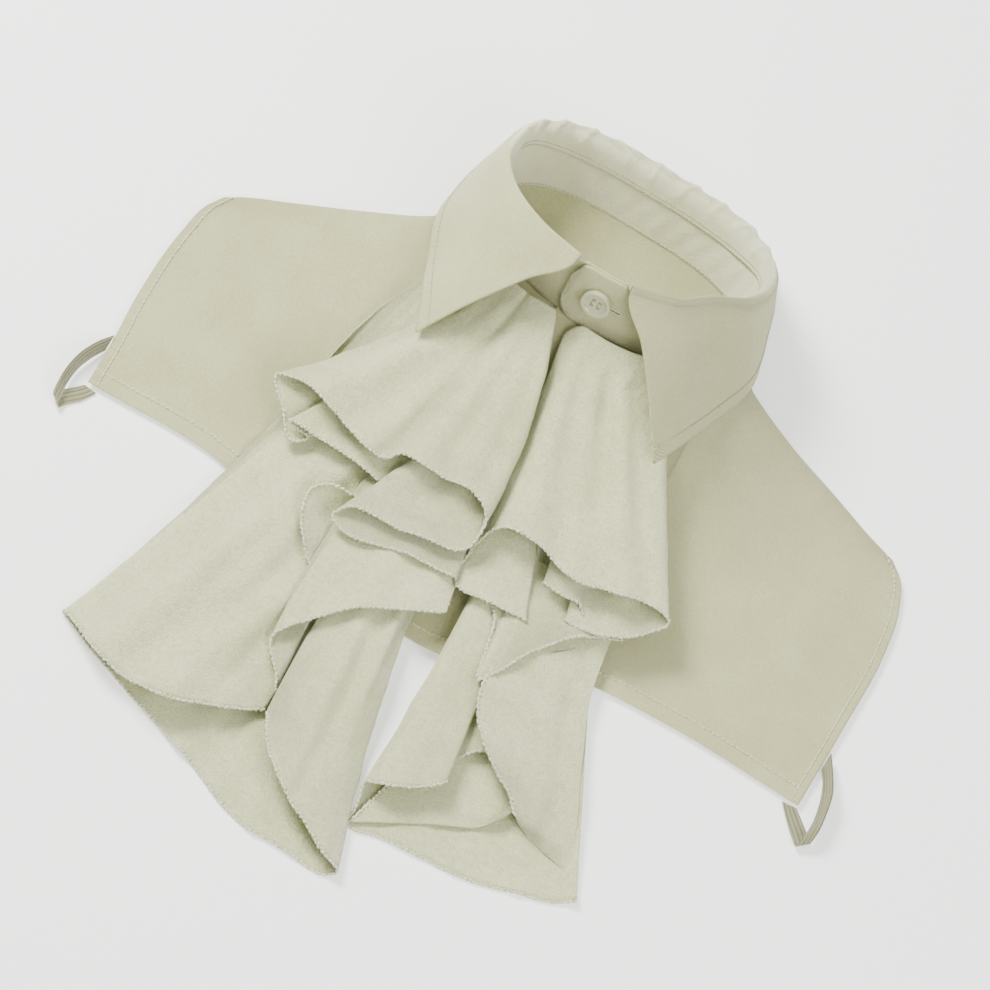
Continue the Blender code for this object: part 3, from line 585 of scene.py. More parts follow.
# %% [markdown]
# ## The neck ring
# The stand, the leaf and the neck edges of the panels all follow one ring. It is an ellipse in front
# and a boxier curve behind, and it leans back from upright, because the collar lies on its back. A
# point on it is a turn in degrees from the front and a rise from its base to its top.

# %% The ring
RING_LEAN = math.radians(28.0)
BASE_CENTRE = np.array([0.0, -4.26, 2.87])
TOP_CENTRE = np.array([-0.2, -2.885, 6.10])
BASE_HALF_WIDTH, TOP_HALF_WIDTH = 6.7, 6.9
BASE_HALF_DEPTH, TOP_HALF_DEPTH = 4.83, 5.16
BACK_SQUARENESS = 3.0
# The ring is pushed in a little at its front right, where the leaf presses on it
DENT_TURN = 56.0
DENT_SPREAD = 26.0
DENT_DEPTH = 0.18
RING_AXIS = np.array([0.0, math.sin(RING_LEAN), math.cos(RING_LEAN)])
RING_BACK = np.array([0.0, math.cos(RING_LEAN), -math.sin(RING_LEAN)])


def ring(turn, rise, outward=0.0):
    """Points of the neck ring. outward moves them off its wall."""
    turn, rise, outward = np.broadcast_arrays(turn, rise, outward)
    from_dent = ((turn - DENT_TURN + 180.0) % 360.0 - 180.0) / DENT_SPREAD
    dent = 1.0 - DENT_DEPTH * rise * np.exp(-from_dent ** 2)
    side, front = np.sin(np.radians(turn)), np.cos(np.radians(turn))
    power = np.where(front >= 0.0, 2.0, BACK_SQUARENESS)
    size = dent * (np.abs(side) ** power + np.abs(front) ** power) ** (-1.0 / power)
    half_width = mix(BASE_HALF_WIDTH, TOP_HALF_WIDTH, rise) + outward
    half_depth = mix(BASE_HALF_DEPTH, TOP_HALF_DEPTH, rise) + outward
    centre = mix(BASE_CENTRE, TOP_CENTRE, rise[..., None])
    across = (side * size * half_width)[..., None] * np.array([1.0, 0.0, 0.0])
    return centre + across - (front * size * half_depth)[..., None] * RING_BACK


def down_in_drawing(points):
    """How far down the drawing a place is seen."""
    return DRAWING_ZERO - math.sin(VIEW_LEAN) * points[..., 1] - math.cos(VIEW_LEAN) * points[..., 2]


# %% [markdown]
# ## The bib
# Front and back panels hang from the neck seam. A height formula lifts their middle to the ring at the
# neck and lets it fall, steep first and then nearly flat, towards the hem. The panels' grids fill four
# outlines, and the cloth's own swells and the puckers beside each seam ride on top of that.

# %% The panels' outlines and height
PANEL_CLOTH = 0.07
HEM_THREAD = 0.045
FLAT_HEIGHT = 0.22
SIDE_SLOPE = 10.0
FRONT_SLOPE = 14.5
SLOPE_POWER = 1.7
PLACKET_LAP = 0.17
BACK_SLOPE = 2.6
BACK_INSET = 0.15
NECK_DROP = 0.12
PLACKET_ACROSS = -1.5
UNDER_PLACKET_ACROSS = 1.0
OUTLINE_SPANS = 24
HEM_SPANS = 6
LEFT_SHOULDER = ((-18.05, 5.0), (-17.2, 4.5), (-15.0, 3.5), (-11.7, 2.0), (-8.8, 0.5), (-6.85, -1.2))
RIGHT_SHOULDER = ((6.85, -1.2), (9.0, 0.0), (11.6, 1.1), (15.0, 2.2), (17.4, 3.0), (18.85, 3.4))
LEFT_SIDE = ((-18.05, 5.0), (-18.65, 6.0), (-18.9, 7.3), (-19.1, 11.4), (-18.95, 13.6), (-18.9, 16.0))
RIGHT_SIDE = ((18.85, 3.4), (19.7, 4.1), (20.35, 5.4), (20.8, 7.8), (20.85, 11.4), (20.8, 15.87))
HEM = ((-18.9, 16.0), (-11.4, 16.0), (-10.2, 16.2), (-6.0, 17.3), (-3.0, 18.2), (0.0, 18.6), (1.5, 18.6),
       (5.0, 17.6), (9.2, 16.1), (12.8, 15.8), (20.8, 15.87))


def panel_height(across, down):
    """The height of the fronts' ground: high at the neck, nearly flat towards the hem."""
    neck_centre = down_in_drawing(BASE_CENTRE)
    neck_half = BASE_HALF_DEPTH * math.sin(VIEW_LEAN - RING_LEAN)
    reach = np.hypot(across, down - neck_centre)
    times_neck = np.hypot(across / BASE_HALF_WIDTH, (down - neck_centre) / neck_half)
    forward = (down - neck_centre) / neck_half / times_neck
    distance = reach * (1.0 - 1.0 / times_neck)
    neck_height = BASE_CENTRE[2] + BASE_HALF_DEPTH * math.sin(RING_LEAN) * forward - NECK_DROP
    slope = mix(SIDE_SLOPE, FRONT_SLOPE, np.clip(forward, 0.0, None))
    fall = np.clip(1.0 - np.clip(distance, 0.0, None) / slope, 0.0, None) ** SLOPE_POWER
    return FLAT_HEIGHT + (neck_height - FLAT_HEIGHT) * fall


def at_shares(points, shares):
    """Points of the smooth curve at the given shares of its length."""
    fine = smooth(points, OUTLINE_SPANS)
    return resample(fine, np.asarray(shares, dtype=float))


def hem_at(across):
    """How far down the hem runs at each place across."""
    fine = smooth(HEM, HEM_SPANS)
    return np.interp(across, fine[:, 0], fine[:, 1])


# %% Fronts
FRONT_COLUMNS = 200
FRONT_ROWS = 170
HEM_ROWS = 40
HEM_STARTS = 0.93
HEM_DEPTH = 0.8
SIDE_DEPTH = 0.45
HEM_LAYER = 0.025
HEM_GROOVE = 0.02
GROOVE_WIDTH = 0.09
PUCKER_REACH = 0.55
PUCKER_WAVE = 0.55
PUCKER_LIFT = 0.016
NECK_REACH = 6.5
# Each swell is a wave length and a height
SLOW_SWELL = (4.2, 0.045)
QUICK_SWELL = (1.7, 0.012)
LEFT_NECK_TURNS = (-84.0, 8.6)
RIGHT_NECK_TURNS = (-12.9, 84.0)
NECK_STEPS = 14
LAP_INNER = 2.0
LAP_OUTER = 4.5
LAP_DOWN = (2.0, 8.0)


def right_lap(across, down):
    """The right front lies on the left one at the placket."""
    return PLACKET_LAP * (1.0 - ease(LAP_INNER, LAP_OUTER, across)) * ease(*LAP_DOWN, down)


def left_lap(across, down):
    """At the neck the left front passes below the right one."""
    return -PLACKET_LAP * ease(-LAP_OUTER, -LAP_INNER, across) * (1.0 - ease(*LAP_DOWN, down))


# Columns: place, from across, down, to across, down, width, lift
FRONT_DENTS = (
    ("left_drag", -17.0, 6.2, -13.0, 9.5, 1.2, 0.10),
    ("left_trough", -15.5, 5.0, -12.0, 8.0, 0.9, -0.08),
    ("left_low", -17.5, 13.0, -12.5, 12.0, 1.0, 0.08),
    ("left_hem", -14.0, 15.2, -11.5, 13.8, 0.8, -0.07),
    ("right_drag", 9.5, 2.5, 13.0, 8.5, 1.3, 0.10),
    ("right_trough", 11.5, 2.4, 15.5, 7.0, 1.1, -0.10),
    ("right_low", 12.5, 14.5, 18.0, 11.0, 1.2, 0.09),
    ("right_side", 19.0, 7.0, 18.0, 12.0, 0.9, -0.06),
    ("right_corner", 17.5, 15.0, 20.0, 13.0, 0.8, 0.06),
)


def hem_relief(from_edge, along_edge, depth):
    """A turned hem: one layer thicker up to its stitching, with puckers along the stitches."""
    turned = 1.0 - ease(depth - 0.02, depth + 0.10, from_edge)
    groove = np.exp(-((from_edge - depth) / GROOVE_WIDTH) ** 2)
    near = np.exp(-((from_edge - depth * 0.8) / PUCKER_REACH) ** 2)
    beat = np.sin(along_edge * math.tau / PUCKER_WAVE + 1.6 * np.sin(along_edge * 0.9))
    return HEM_LAYER * turned - HEM_GROOVE * groove + PUCKER_LIFT * near * beat


def front_grid(top, side, inner_across, lap, seed):
    """A front from shoulder and neck to hem. top runs from left to right."""
    is_left = side is LEFT_SIDE
    body_rows = np.linspace(0.0, HEM_STARTS, FRONT_ROWS - HEM_ROWS)
    hem_rows = np.linspace(HEM_STARTS, 1.0, HEM_ROWS + 1)
    shares = np.concatenate([body_rows, hem_rows[1:]])[:, None]
    top = at_shares(top, np.linspace(0.0, 1.0, FRONT_COLUMNS + 1))
    ends = (HEM[0][0], inner_across) if is_left else (inner_across, HEM[-1][0])
    across = mix(*ends, (top[:, 0] - top[0, 0]) / (top[-1, 0] - top[0, 0]))
    bottom = np.stack([across, hem_at(across)], axis=-1)
    outer = at_shares(side, shares[:, 0])
    inner_top, inner_bottom = (top[-1], bottom[-1]) if is_left else (top[0], bottom[0])
    inner = mix(inner_top, inner_bottom, shares)
    left, right = (outer, inner) if is_left else (inner, outer)
    s = np.linspace(0.0, 1.0, FRONT_COLUMNS + 1)[None, :, None]
    k = shares[:, :, None]
    flat = (mix(top[None], bottom[None], k) + mix(left[:, None], right[:, None], s)
            - mix(mix(top[0], top[-1], s), mix(bottom[0], bottom[-1], s), k))
    u, v = flat[..., 0], flat[..., 1]
    height = panel_height(u, v) + lap(u, v)
    from_hem = hem_at(u) - v
    edge_line = outer[:, None, :]
    from_side = np.abs(u - edge_line[..., 0])
    from_neck = np.hypot(u, v) - NECK_REACH
    calm = ease(0.3, 3.0, from_hem) * ease(0.3, 2.5, from_side) * ease(1.0, 3.5, from_neck)
    soft = ripple(flat, seed, *SLOW_SWELL) + ripple(flat, seed + 3, *QUICK_SWELL)
    soft += creases(flat, FRONT_DENTS)
    hems = hem_relief(from_hem, u, HEM_DEPTH) + hem_relief(from_side, v, SIDE_DEPTH)
    height = height + soft * calm + hems
    return lay(np.stack([u, v, height], axis=-1))


def neck_outline(first_turn, last_turn):
    """The neck seam between two turns of the ring, as outline points."""
    points = ring(np.linspace(first_turn, last_turn, NECK_STEPS + 1), 0.0)
    return tuple(zip(points[:, 0], down_in_drawing(points)))


def front(label, top, side, inner_across, lap, seed):
    """One front with the two rows of stitches along its hem and its side."""
    grid = front_grid(top, side, inner_across, lap, seed)
    piece = cloth_sheet("front_" + label, grid, PANEL_CLOTH, poplin)
    settle(piece, "front_panel_" + label, slot="poplin")
    line, ways = in_from_last_row(grid, HEM_DEPTH)
    looks = {"cloth_half": PANEL_CLOTH * 0.5, "radius": HEM_THREAD, "thread": hem_thread}
    stitch_row("hem_stitches_" + label, line, ways, **looks)
    sideways = grid.transpose(1, 0, 2)
    sideways = sideways[::-1] if side is LEFT_SIDE else sideways
    line, ways = in_from_last_row(sideways, SIDE_DEPTH)
    stitch_row("side_stitches_" + label, line, ways * np.sign(ways[:, 2:3]), **looks)
    return piece


front_left = front("left", LEFT_SHOULDER + neck_outline(*LEFT_NECK_TURNS), LEFT_SIDE,
                   UNDER_PLACKET_ACROSS, left_lap, 2)
front_right = front("right", neck_outline(*RIGHT_NECK_TURNS) + RIGHT_SHOULDER, RIGHT_SIDE,
                    PLACKET_ACROSS, right_lap, 5)


# %% Back
BACK_FINENESS = 6
BACK_DROP = 0.10
BACK_HEIGHT = 0.06


def back_grid(fineness):
    """The back panel, from both shoulders and the nape down to the hem, just above the table."""
    drop = np.array([0.0, 0.0, BACK_DROP])
    left = at_shares(LEFT_SHOULDER, np.linspace(0.0, 1.0, 9 * fineness + 1))
    right = at_shares(RIGHT_SHOULDER, np.linspace(0.0, 1.0, 9 * fineness + 1))
    left_top = lay(np.column_stack([left, panel_height(left[:, 0], left[:, 1])]))
    right_top = lay(np.column_stack([right, panel_height(right[:, 0], right[:, 1])]))
    nape = ring(np.linspace(-90.0, -270.0, 16 * fineness + 1), 0.0)
    top = np.concatenate([left_top[:-1], nape, right_top[1:]]) - drop
    s = np.linspace(0.0, 1.0, len(top))[None, :, None]
    k = np.concatenate([np.linspace(0.0, 0.15, 30), np.linspace(0.15, 1.0, 51)[1:]])[:, None]
    inset = np.array([BACK_INSET, 0.0])
    sides = [at_shares(LEFT_SIDE, k[:, 0]) + inset, at_shares(RIGHT_SIDE, k[:, 0]) - inset]
    sides = [lay(np.column_stack([side, np.full(len(side), FLAT_HEIGHT)])) for side in sides]
    left_edge, right_edge = sides
    across = mix(left_edge[-1, 0], right_edge[-1, 0], s[0, :, 0])
    stop = lay(np.column_stack([across, hem_at(across) - BACK_INSET, np.full(len(across), FLAT_HEIGHT)]))
    share = k[:, :, None]
    bulge = (mix(left_edge[:, None], right_edge[:, None], s)
             - mix(mix(left_edge[0], right_edge[0], s), mix(left_edge[-1], right_edge[-1], s), share))
    grid = mix(top[None], stop[None], share) + bulge * np.array([1.0, 1.0, 0.0])
    run = np.linalg.norm(top - stop, axis=-1)[None]
    fall = np.clip(1.0 - run * k / BACK_SLOPE, 0.0, None) ** 2
    grid[..., 2] = mix(BACK_HEIGHT, np.clip(top[None, :, 2], BACK_HEIGHT, None), fall)
    return grid


back = cloth_sheet("back", back_grid(BACK_FINENESS), PANEL_CLOTH, poplin)
settle(back, "back_panel", slot="poplin")


# %% [markdown]
# ## The stand
# The stand is a narrow curved band that rings the neck and overlaps itself in front, its rounded end
# on top. It is stitched close along its lower seam and round that end, where the buttonhole is.

# %% Stand
COLLAR_CLOTH = 0.09
UNDER_END_TURN = 15.6
OVER_END_TURN = -372.9
OVERLAP_STEP = 0.11
STAND_RISE_BACK = 0.62
STAND_RISE_SIDE = 0.90
STAND_RISE_FRONT = 0.985
END_ROUND = 8.0
END_CUT = 0.30
STAND_EDGE_STITCH = 0.25
SEAM_TUCK = 0.045
STAND_SWELL = 0.02
STAND_WRINKLE = 0.035


def stand_rise(turn):
    """How far up the ring the stand reaches: lower behind the neck, highest in front."""
    away = np.abs((turn + 180.0) % 360.0 - 180.0)
    behind = ease(95.0, 150.0, away)
    front_share = 1.0 - ease(9.0, 12.0, away)
    return mix(mix(STAND_RISE_SIDE, STAND_RISE_BACK, behind), STAND_RISE_FRONT, front_share)


def stand_grid():
    """The band round the ring, from its end below to its rounded end on top."""
    turns = np.concatenate([np.linspace(UNDER_END_TURN, -5.0, 30), np.linspace(-5.0, -350.0, 300)[1:],
                            np.linspace(-350.0, OVER_END_TURN, 60)[1:]])
    outward = OVERLAP_STEP * (ease(35.0, 80.0, -turns) - 1.0 + ease(280.0, 325.0, -turns))
    to_end = np.clip((turns - OVER_END_TURN) / END_ROUND, 0.0, 1.0)
    cut = END_CUT * (1.0 - np.sqrt(1.0 - (1.0 - to_end) ** 2))
    rises = np.linspace(0.0, 1.0, 25)[None, :]
    rise = mix(cut[:, None] - SEAM_TUCK, stand_rise(turns)[:, None] - cut[:, None], rises)
    behind = ease(-80.0, -120.0, turns) * ease(-280.0, -240.0, turns)
    wrinkle = np.sin(turns * 0.55)[:, None] * np.sin(rises * 5.0 + turns[:, None] * 0.17)
    swell = STAND_SWELL * np.sin(turns * 0.21)[:, None] + STAND_WRINKLE * behind[:, None] * wrinkle
    return ring(turns[:, None], rise, outward[:, None] + swell * np.sin(rises * math.pi))


def collar_stitches(name, grid, distance, rise, inside=False, part=slice(None), **looks):
    """A row of stitches inside a grid's last row, outside the neck or inside it."""
    line, ways = in_from_last_row(grid, distance)
    away = line - mix(BASE_CENTRE, TOP_CENTRE, rise)
    shown = -away if inside else away
    ways = ways * np.sign((ways * shown).sum(axis=-1, keepdims=True))
    stitch_row(name, line[part], ways[part], COLLAR_CLOTH * 0.5, **looks)


stand_points = stand_grid()
stand = cloth_sheet("stand", stand_points, COLLAR_CLOTH, poplin)
# The stand's inner faces take the lighter poplin: painted light on the inside wall
stand.data.materials.append(poplin_inside_painted_light)
neck_middle = Vector(metres(mix(BASE_CENTRE, TOP_CENTRE, 0.5)))
for face in stand.data.polygons:
    face.material_index = int(face.normal.dot(neck_middle - face.center) > 0.0)
settle(stand, "collar_stand", slot="poplin")
stand_lower = stand_points.transpose(1, 0, 2)[::-1]
collar_stitches("stand_lower_stitches", stand_lower, STAND_EDGE_STITCH, 0.2)
collar_stitches("stand_end_stitches", stand_points, STAND_EDGE_STITCH, 0.5, part=slice(1, -1))

# %% [markdown]
# ## The leaf
# The leaf starts inside the stand's top seam, rolls over the fold and lies down outside to an edge that
# ends in two long points. Each edge point belongs to a turn of the fold above it, so the grid's columns
# run from seam to edge and its rows follow the fold. A row of stitches runs 7 mm inside the edge.

# %% Leaf
# Columns: place, turn of the fold above it, across, down, height
LEAF_EDGE = (
    ("left_tip", -12.6, -6.65, 5.85, 4.15),
    ("left_front", -34.0, -7.25, 4.40, 3.75),
    ("left_breast", -58.0, -8.00, 2.60, 3.00),
    ("left_side", -82.0, -8.70, 0.45, 2.80),
    ("left_shoulder", -103.0, -8.35, -2.20, 1.60),
    ("left_back", -123.0, -7.50, -4.35, 0.90),
    ("left_corner", -141.0, -6.15, -5.80, 0.55),
    ("left_nape", -162.0, -3.20, -6.80, 0.45),
    ("nape", -180.0, 0.00, -7.00, 0.45),
    ("right_nape", -198.0, 3.20, -6.85, 0.45),
    ("right_corner", -219.0, 6.05, -5.90, 0.55),
    ("right_back", -237.0, 7.35, -4.45, 0.90),
    ("right_shoulder", -257.0, 8.15, -2.35, 1.60),
    ("right_side", -278.0, 8.60, 0.10, 2.80),
    ("right_breast", -302.0, 7.80, 2.30, 3.00),
    ("right_front", -326.0, 7.05, 4.05, 3.85),
    ("right_tip", -348.6, 6.40, 5.40, 4.25),
)
LEAF_STITCH = 0.7
LEAF_THREAD = 0.042
LEAF_SPANS = 14
LEAF_COLUMNS = 22
FOLD_OUTWARD = 0.20
FOLD_CREST = 0.22
FOLD_DEPTH = 0.46
FOLD_RISE = 0.97
LEAF_SWAY = 0.05
LEAF_SWELL = (2.8, 0.02)
# Creases that run over the fold behind the neck: turn, width in degrees, lift
PUCKERS = (
    (-112.0, 2.2, 0.03), (-121.0, 1.8, -0.04), (-127.0, 2.6, 0.06), (-133.0, 1.4, -0.05),
    (-141.0, 2.8, 0.05), (-147.0, 1.3, -0.06), (-155.0, 3.2, 0.05), (-161.0, 1.2, -0.05),
    (-170.0, 3.0, 0.04), (-176.0, 1.2, -0.05), (-185.0, 3.0, 0.05), (-191.0, 1.3, -0.05),
    (-199.0, 2.6, 0.05), (-204.0, 1.2, -0.06), (-211.0, 2.4, 0.05), (-216.0, 1.4, -0.05),
    (-223.0, 2.4, 0.06), (-229.0, 1.5, -0.05), (-237.0, 2.6, 0.05), (-246.0, 2.0, -0.03),
)
PUCKER_LEAN = 5.0
PUCKER_GAIN = 1.5


def pucker_relief(turns, over):
    """over runs from 0 at the seam past 2 at the fold to 6 at the edge."""
    relief = np.zeros(np.broadcast(turns, over).shape)
    for turn, width, lift in PUCKERS:
        lean = PUCKER_LEAN * math.sin(turn) * (over - 1.5)
        relief += PUCKER_GAIN * lift * np.exp(-((turns - turn - lean) / width) ** 2)
    return relief * ease(0.15, 1.0, over) * (1.0 - ease(2.2, 3.3, over))


def leaf_grid():
    """The leaf, from its seam inside the stand over the fold to its edge."""
    turns = np.array([row[1] for row in LEAF_EDGE])
    edge = lay([row[2:] for row in LEAF_EDGE])
    low = stand_rise(np.where(np.abs(turns + 180.0) > 150.0, -30.0, turns)) - 0.05
    fold_outer = ring(turns, FOLD_RISE, FOLD_DEPTH)
    sway = np.linalg.norm(edge - fold_outer, axis=-1, keepdims=True) * LEAF_SWAY * RING_AXIS
    sections = np.stack([
        ring(turns, low, -0.07),
        ring(turns, 1.0, -0.02),
        ring(turns, 1.0, FOLD_OUTWARD) + RING_AXIS * FOLD_CREST,
        fold_outer,
        mix(fold_outer, edge, 0.33) + sway,
        mix(fold_outer, edge, 0.68) + sway,
        edge,
    ])
    along_the_fold = smooth(sections.transpose(1, 0, 2), LEAF_COLUMNS).transpose(1, 0, 2)
    fine_turns = smooth(turns[:, None], LEAF_COLUMNS)[:, 0]
    grid = smooth(along_the_fold, LEAF_SPANS)
    over = np.arange(grid.shape[0])[:, None] / LEAF_SPANS
    dents = ripple(grid, 4, *LEAF_SWELL) * ease(2.6, 3.6, over)
    return raised(grid, pucker_relief(fine_turns[None, :], over) + dents)


leaf_points = leaf_grid()
leaf = cloth_sheet("leaf", leaf_points, COLLAR_CLOTH, poplin_leaf_painted_light)
settle(leaf, "collar_leaf", slot="poplin")
collar_stitches("leaf_edge_stitches", leaf_points, LEAF_STITCH, 0.3, radius=LEAF_THREAD)

# %% Stitching inside the neck
# Only the columns behind the neck are sewn where the eye can see them
LEAF_BACK = slice(88, 265)
STAND_BACK = slice(90, 300)
for label, distance in (("upper", 0.34), ("lower", 0.10)):
    collar_stitches("seam_stitches_" + label, leaf_points[::-1], distance, 0.7, inside=True,
                    part=LEAF_BACK, pitch=0.21)
collar_stitches("neck_seam_stitches", stand_lower, 0.16, 0.2, inside=True, part=STAND_BACK, pitch=0.24)

# %% [markdown]
# ## The jabot
# Each ruffle is a flounce, cut as a ring and let fall, so its hem is much longer than its root. Its
# fold lines fan from the root like the ribs of a shell. A table gives one row for each: where the fold
# starts, how high it stands over the bib, how far it bows, and where it meets the hem. The layers that
# lie under others get their own fold lines, so a tier turns back on itself as cloth does.

# %% Fold lines of the upper tier
# Columns: place, root across, down, lift, bow, hem across, down, lift
UPPER_LEFT = (
    ("second_end", -3.4, 7.8, 0.80, 0.0, -3.4, 13.15, 1.30),
    ("second_mid", -4.4, 6.8, 0.84, 0.0, -6.05, 12.65, 1.44),
    ("second_left", -5.0, 5.9, 0.88, 0.0, -8.2, 12.55, 1.54),
    ("second_fold", -5.3, 5.2, 0.92, 0.0, -9.6, 12.62, 1.56),
    ("tuck", -5.2, 5.2, 0.82, 0.0, -9.1, 12.72, 1.36),
    ("tuck_end", -5.1, 5.1, 0.72, 0.0, -8.5, 12.85, 1.14),
    ("low_corner", -5.3, 4.7, 0.62, 0.0, -9.05, 13.38, 1.04),
    ("under_left", -5.2, 3.9, 0.55, 0.15, -10.2, 12.32, 1.34),
    ("tip", -4.75, 1.7, 0.35, 0.65, -11.3, 11.0, 1.85),
    ("a_left", -4.4, 1.2, 0.50, 0.60, -10.2, 10.65, 2.15),
    ("a_mid", -3.9, 1.3, 0.60, 0.45, -8.0, 11.1, 2.35),
    ("a_right", -3.3, 1.4, 0.60, 0.20, -5.7, 11.8, 2.20),
    ("valley", -3.0, 1.42, 0.50, 0.10, -4.85, 11.8, 1.95),
    ("b_left", -2.8, 1.45, 0.60, 0.10, -4.3, 11.2, 2.40),
    ("b_mid", -2.3, 1.45, 0.65, 0.25, -2.0, 11.15, 2.60),
    ("b_right", -1.7, 1.45, 0.60, 0.50, -0.3, 10.95, 2.60),
    ("b_turn", -1.45, 1.45, 0.50, 0.60, 0.85, 11.8, 2.45),
    ("edge", -1.3, 1.8, 0.35, 0.60, 1.05, 12.5, 2.25),
    ("c_right", -0.9, 4.5, 0.82, 0.20, 0.9, 13.3, 2.05),
    ("c_mid", -1.3, 7.0, 1.38, 0.0, -2.0, 14.25, 2.00),
    ("c_left", -1.9, 7.5, 1.38, 0.0, -5.2, 14.9, 1.95),
    ("fold", -2.0, 7.8, 1.26, 0.0, -5.5, 15.45, 1.78),
    ("d_left", -1.9, 8.2, 1.14, 0.0, -4.9, 15.8, 1.60),
    ("d_mid", -1.0, 8.6, 1.14, 0.0, -2.0, 15.25, 1.60),
    ("d_right", 0.0, 9.0, 1.10, 0.0, 1.1, 14.95, 1.55),
)
UPPER_RIGHT = (
    ("tongue_right", 1.9, 7.5, 0.86, 0.0, 5.0, 14.9, 1.34),
    ("tongue_mid", 1.3, 7.0, 0.84, 0.0, 3.0, 15.15, 1.38),
    ("tongue_left", 0.7, 6.5, 0.74, 0.0, 1.25, 15.2, 1.25),
    ("turn", 0.35, 4.5, 0.40, 0.0, 1.05, 13.6, 1.45),
    ("left", -0.35, 1.9, 0.08, 0.0, 1.3, 12.2, 1.80),
    ("c_left", 0.1, 1.45, 0.30, 0.0, 2.0, 11.65, 2.20),
    ("c_mid", 0.7, 1.45, 0.50, 0.0, 3.6, 11.5, 2.45),
    ("valley", 1.5, 1.45, 0.45, 0.0, 4.9, 11.95, 2.10),
    ("r_first", 2.2, 1.4, 0.50, 0.0, 6.4, 12.05, 2.20),
    ("r_second", 3.0, 1.3, 0.58, 0.0, 8.0, 11.65, 2.40),
    ("r_third", 3.8, 1.15, 0.58, 0.0, 9.4, 11.25, 2.40),
    ("r_last", 4.3, 1.0, 0.48, 0.0, 10.4, 11.25, 2.20),
    ("tip", 4.6, 1.4, 0.35, 0.0, 10.9, 11.55, 1.90),
    ("under_first", 4.9, 4.2, 0.78, 0.0, 10.3, 12.5, 1.60),
    ("under_second", 4.7, 5.3, 0.90, 0.0, 9.2, 13.45, 1.42),
    ("under_third", 4.5, 5.9, 0.92, 0.0, 8.0, 13.85, 1.32),
    ("low_corner", 4.2, 6.4, 0.92, 0.0, 6.65, 13.95, 1.16),
    ("curl", 4.3, 6.5, 0.98, 0.0, 7.2, 13.40, 1.24),
    ("curl_top", 4.2, 6.6, 1.04, 0.0, 6.85, 12.98, 1.46),
    ("curl_mid", 3.9, 6.9, 1.06, 0.0, 5.9, 13.08, 1.52),
    ("curl_end", 3.5, 7.4, 1.02, 0.0, 4.8, 13.0, 1.40),
)

# %% Fold lines of the lower tier and of the ruffles between
INNER_LEFT = (
    ("start", 0.2, 8.0, 0.58, 0.0, 1.3, 15.9, 0.92),
    ("corner", 0.1, 7.5, 0.68, 0.0, 1.5, 16.5, 1.08),
    ("first", -0.3, 7.0, 0.76, 0.0, 0.6, 17.1, 1.32),
    ("second", -1.0, 6.6, 0.80, 0.0, -1.0, 17.85, 1.52),
    ("third", -1.8, 6.5, 0.80, 0.0, -2.6, 18.9, 1.52),
    ("fourth", -2.5, 6.5, 0.80, -0.3, -3.8, 20.1, 1.48),
    ("fifth", -3.0, 6.5, 0.76, -0.6, -4.5, 20.95, 1.38),
    ("left", -3.3, 6.7, 0.66, -0.7, -4.95, 21.8, 1.18),
    ("strip_left", -4.3, 15.0, 0.78, 0.0, -4.55, 22.6, 0.95),
    ("strip_mid", -4.1, 17.0, 0.72, 0.0, -4.0, 23.2, 0.86),
    ("strip_right", -3.95, 19.0, 0.68, 0.0, -3.5, 24.0, 0.76),
)
LOWER_LEFT = (
    ("lobe_end", -3.0, 6.0, 0.20, 0.0, -3.5, 25.0, 0.55),
    ("lobe_first", -3.4, 5.0, 0.20, 0.0, -5.0, 25.75, 0.95),
    ("lobe_second", -3.8, 4.0, 0.25, 0.0, -7.2, 26.6, 1.35),
    ("lobe_third", -4.2, 3.0, 0.28, 0.0, -9.3, 27.0, 1.45),
    ("lobe_fourth", -4.5, 2.4, 0.26, 0.0, -11.5, 26.75, 1.15),
    ("lobe_last", -4.7, 2.1, 0.22, 0.0, -13.1, 26.15, 0.70),
    ("tip", -4.9, 2.0, 0.22, 0.0, -14.0, 25.9, 0.28),
    ("ground_first", -8.2, 14.0, 0.12, 0.0, -12.0, 26.8, 0.07),
    ("ground_second", -6.4, 14.0, 0.08, 0.0, -8.7, 27.85, 0.07),
    ("ground_third", -4.6, 14.0, 0.08, 0.0, -5.5, 28.8, 0.07),
    ("ground_fourth", -2.8, 14.0, 0.08, 0.0, -2.35, 30.0, 0.07),
    ("ground_fifth", -1.2, 13.0, 0.08, 0.0, 0.8, 30.2, 0.07),
    ("ground_last", -0.8, 11.0, 0.06, -0.6, 2.9, 30.2, 0.12),
    ("front_tip", -0.8, 8.0, 0.20, -0.9, 3.4, 29.8, 0.45),
    ("front_first", -0.8, 5.0, 0.28, -0.9, 2.45, 29.3, 0.95),
    ("front_second", -1.0, 4.2, 0.30, -0.5, 1.2, 28.7, 1.25),
    ("front_third", -1.5, 4.0, 0.30, 0.0, -0.3, 27.95, 1.38),
    ("front_fourth", -2.0, 4.2, 0.30, -0.2, -1.7, 27.0, 1.38),
    ("front_fifth", -2.3, 4.6, 0.30, -0.5, -2.7, 26.0, 1.28),
    ("front_last", -2.5, 5.2, 0.28, -0.6, -3.35, 25.0, 1.08),
)

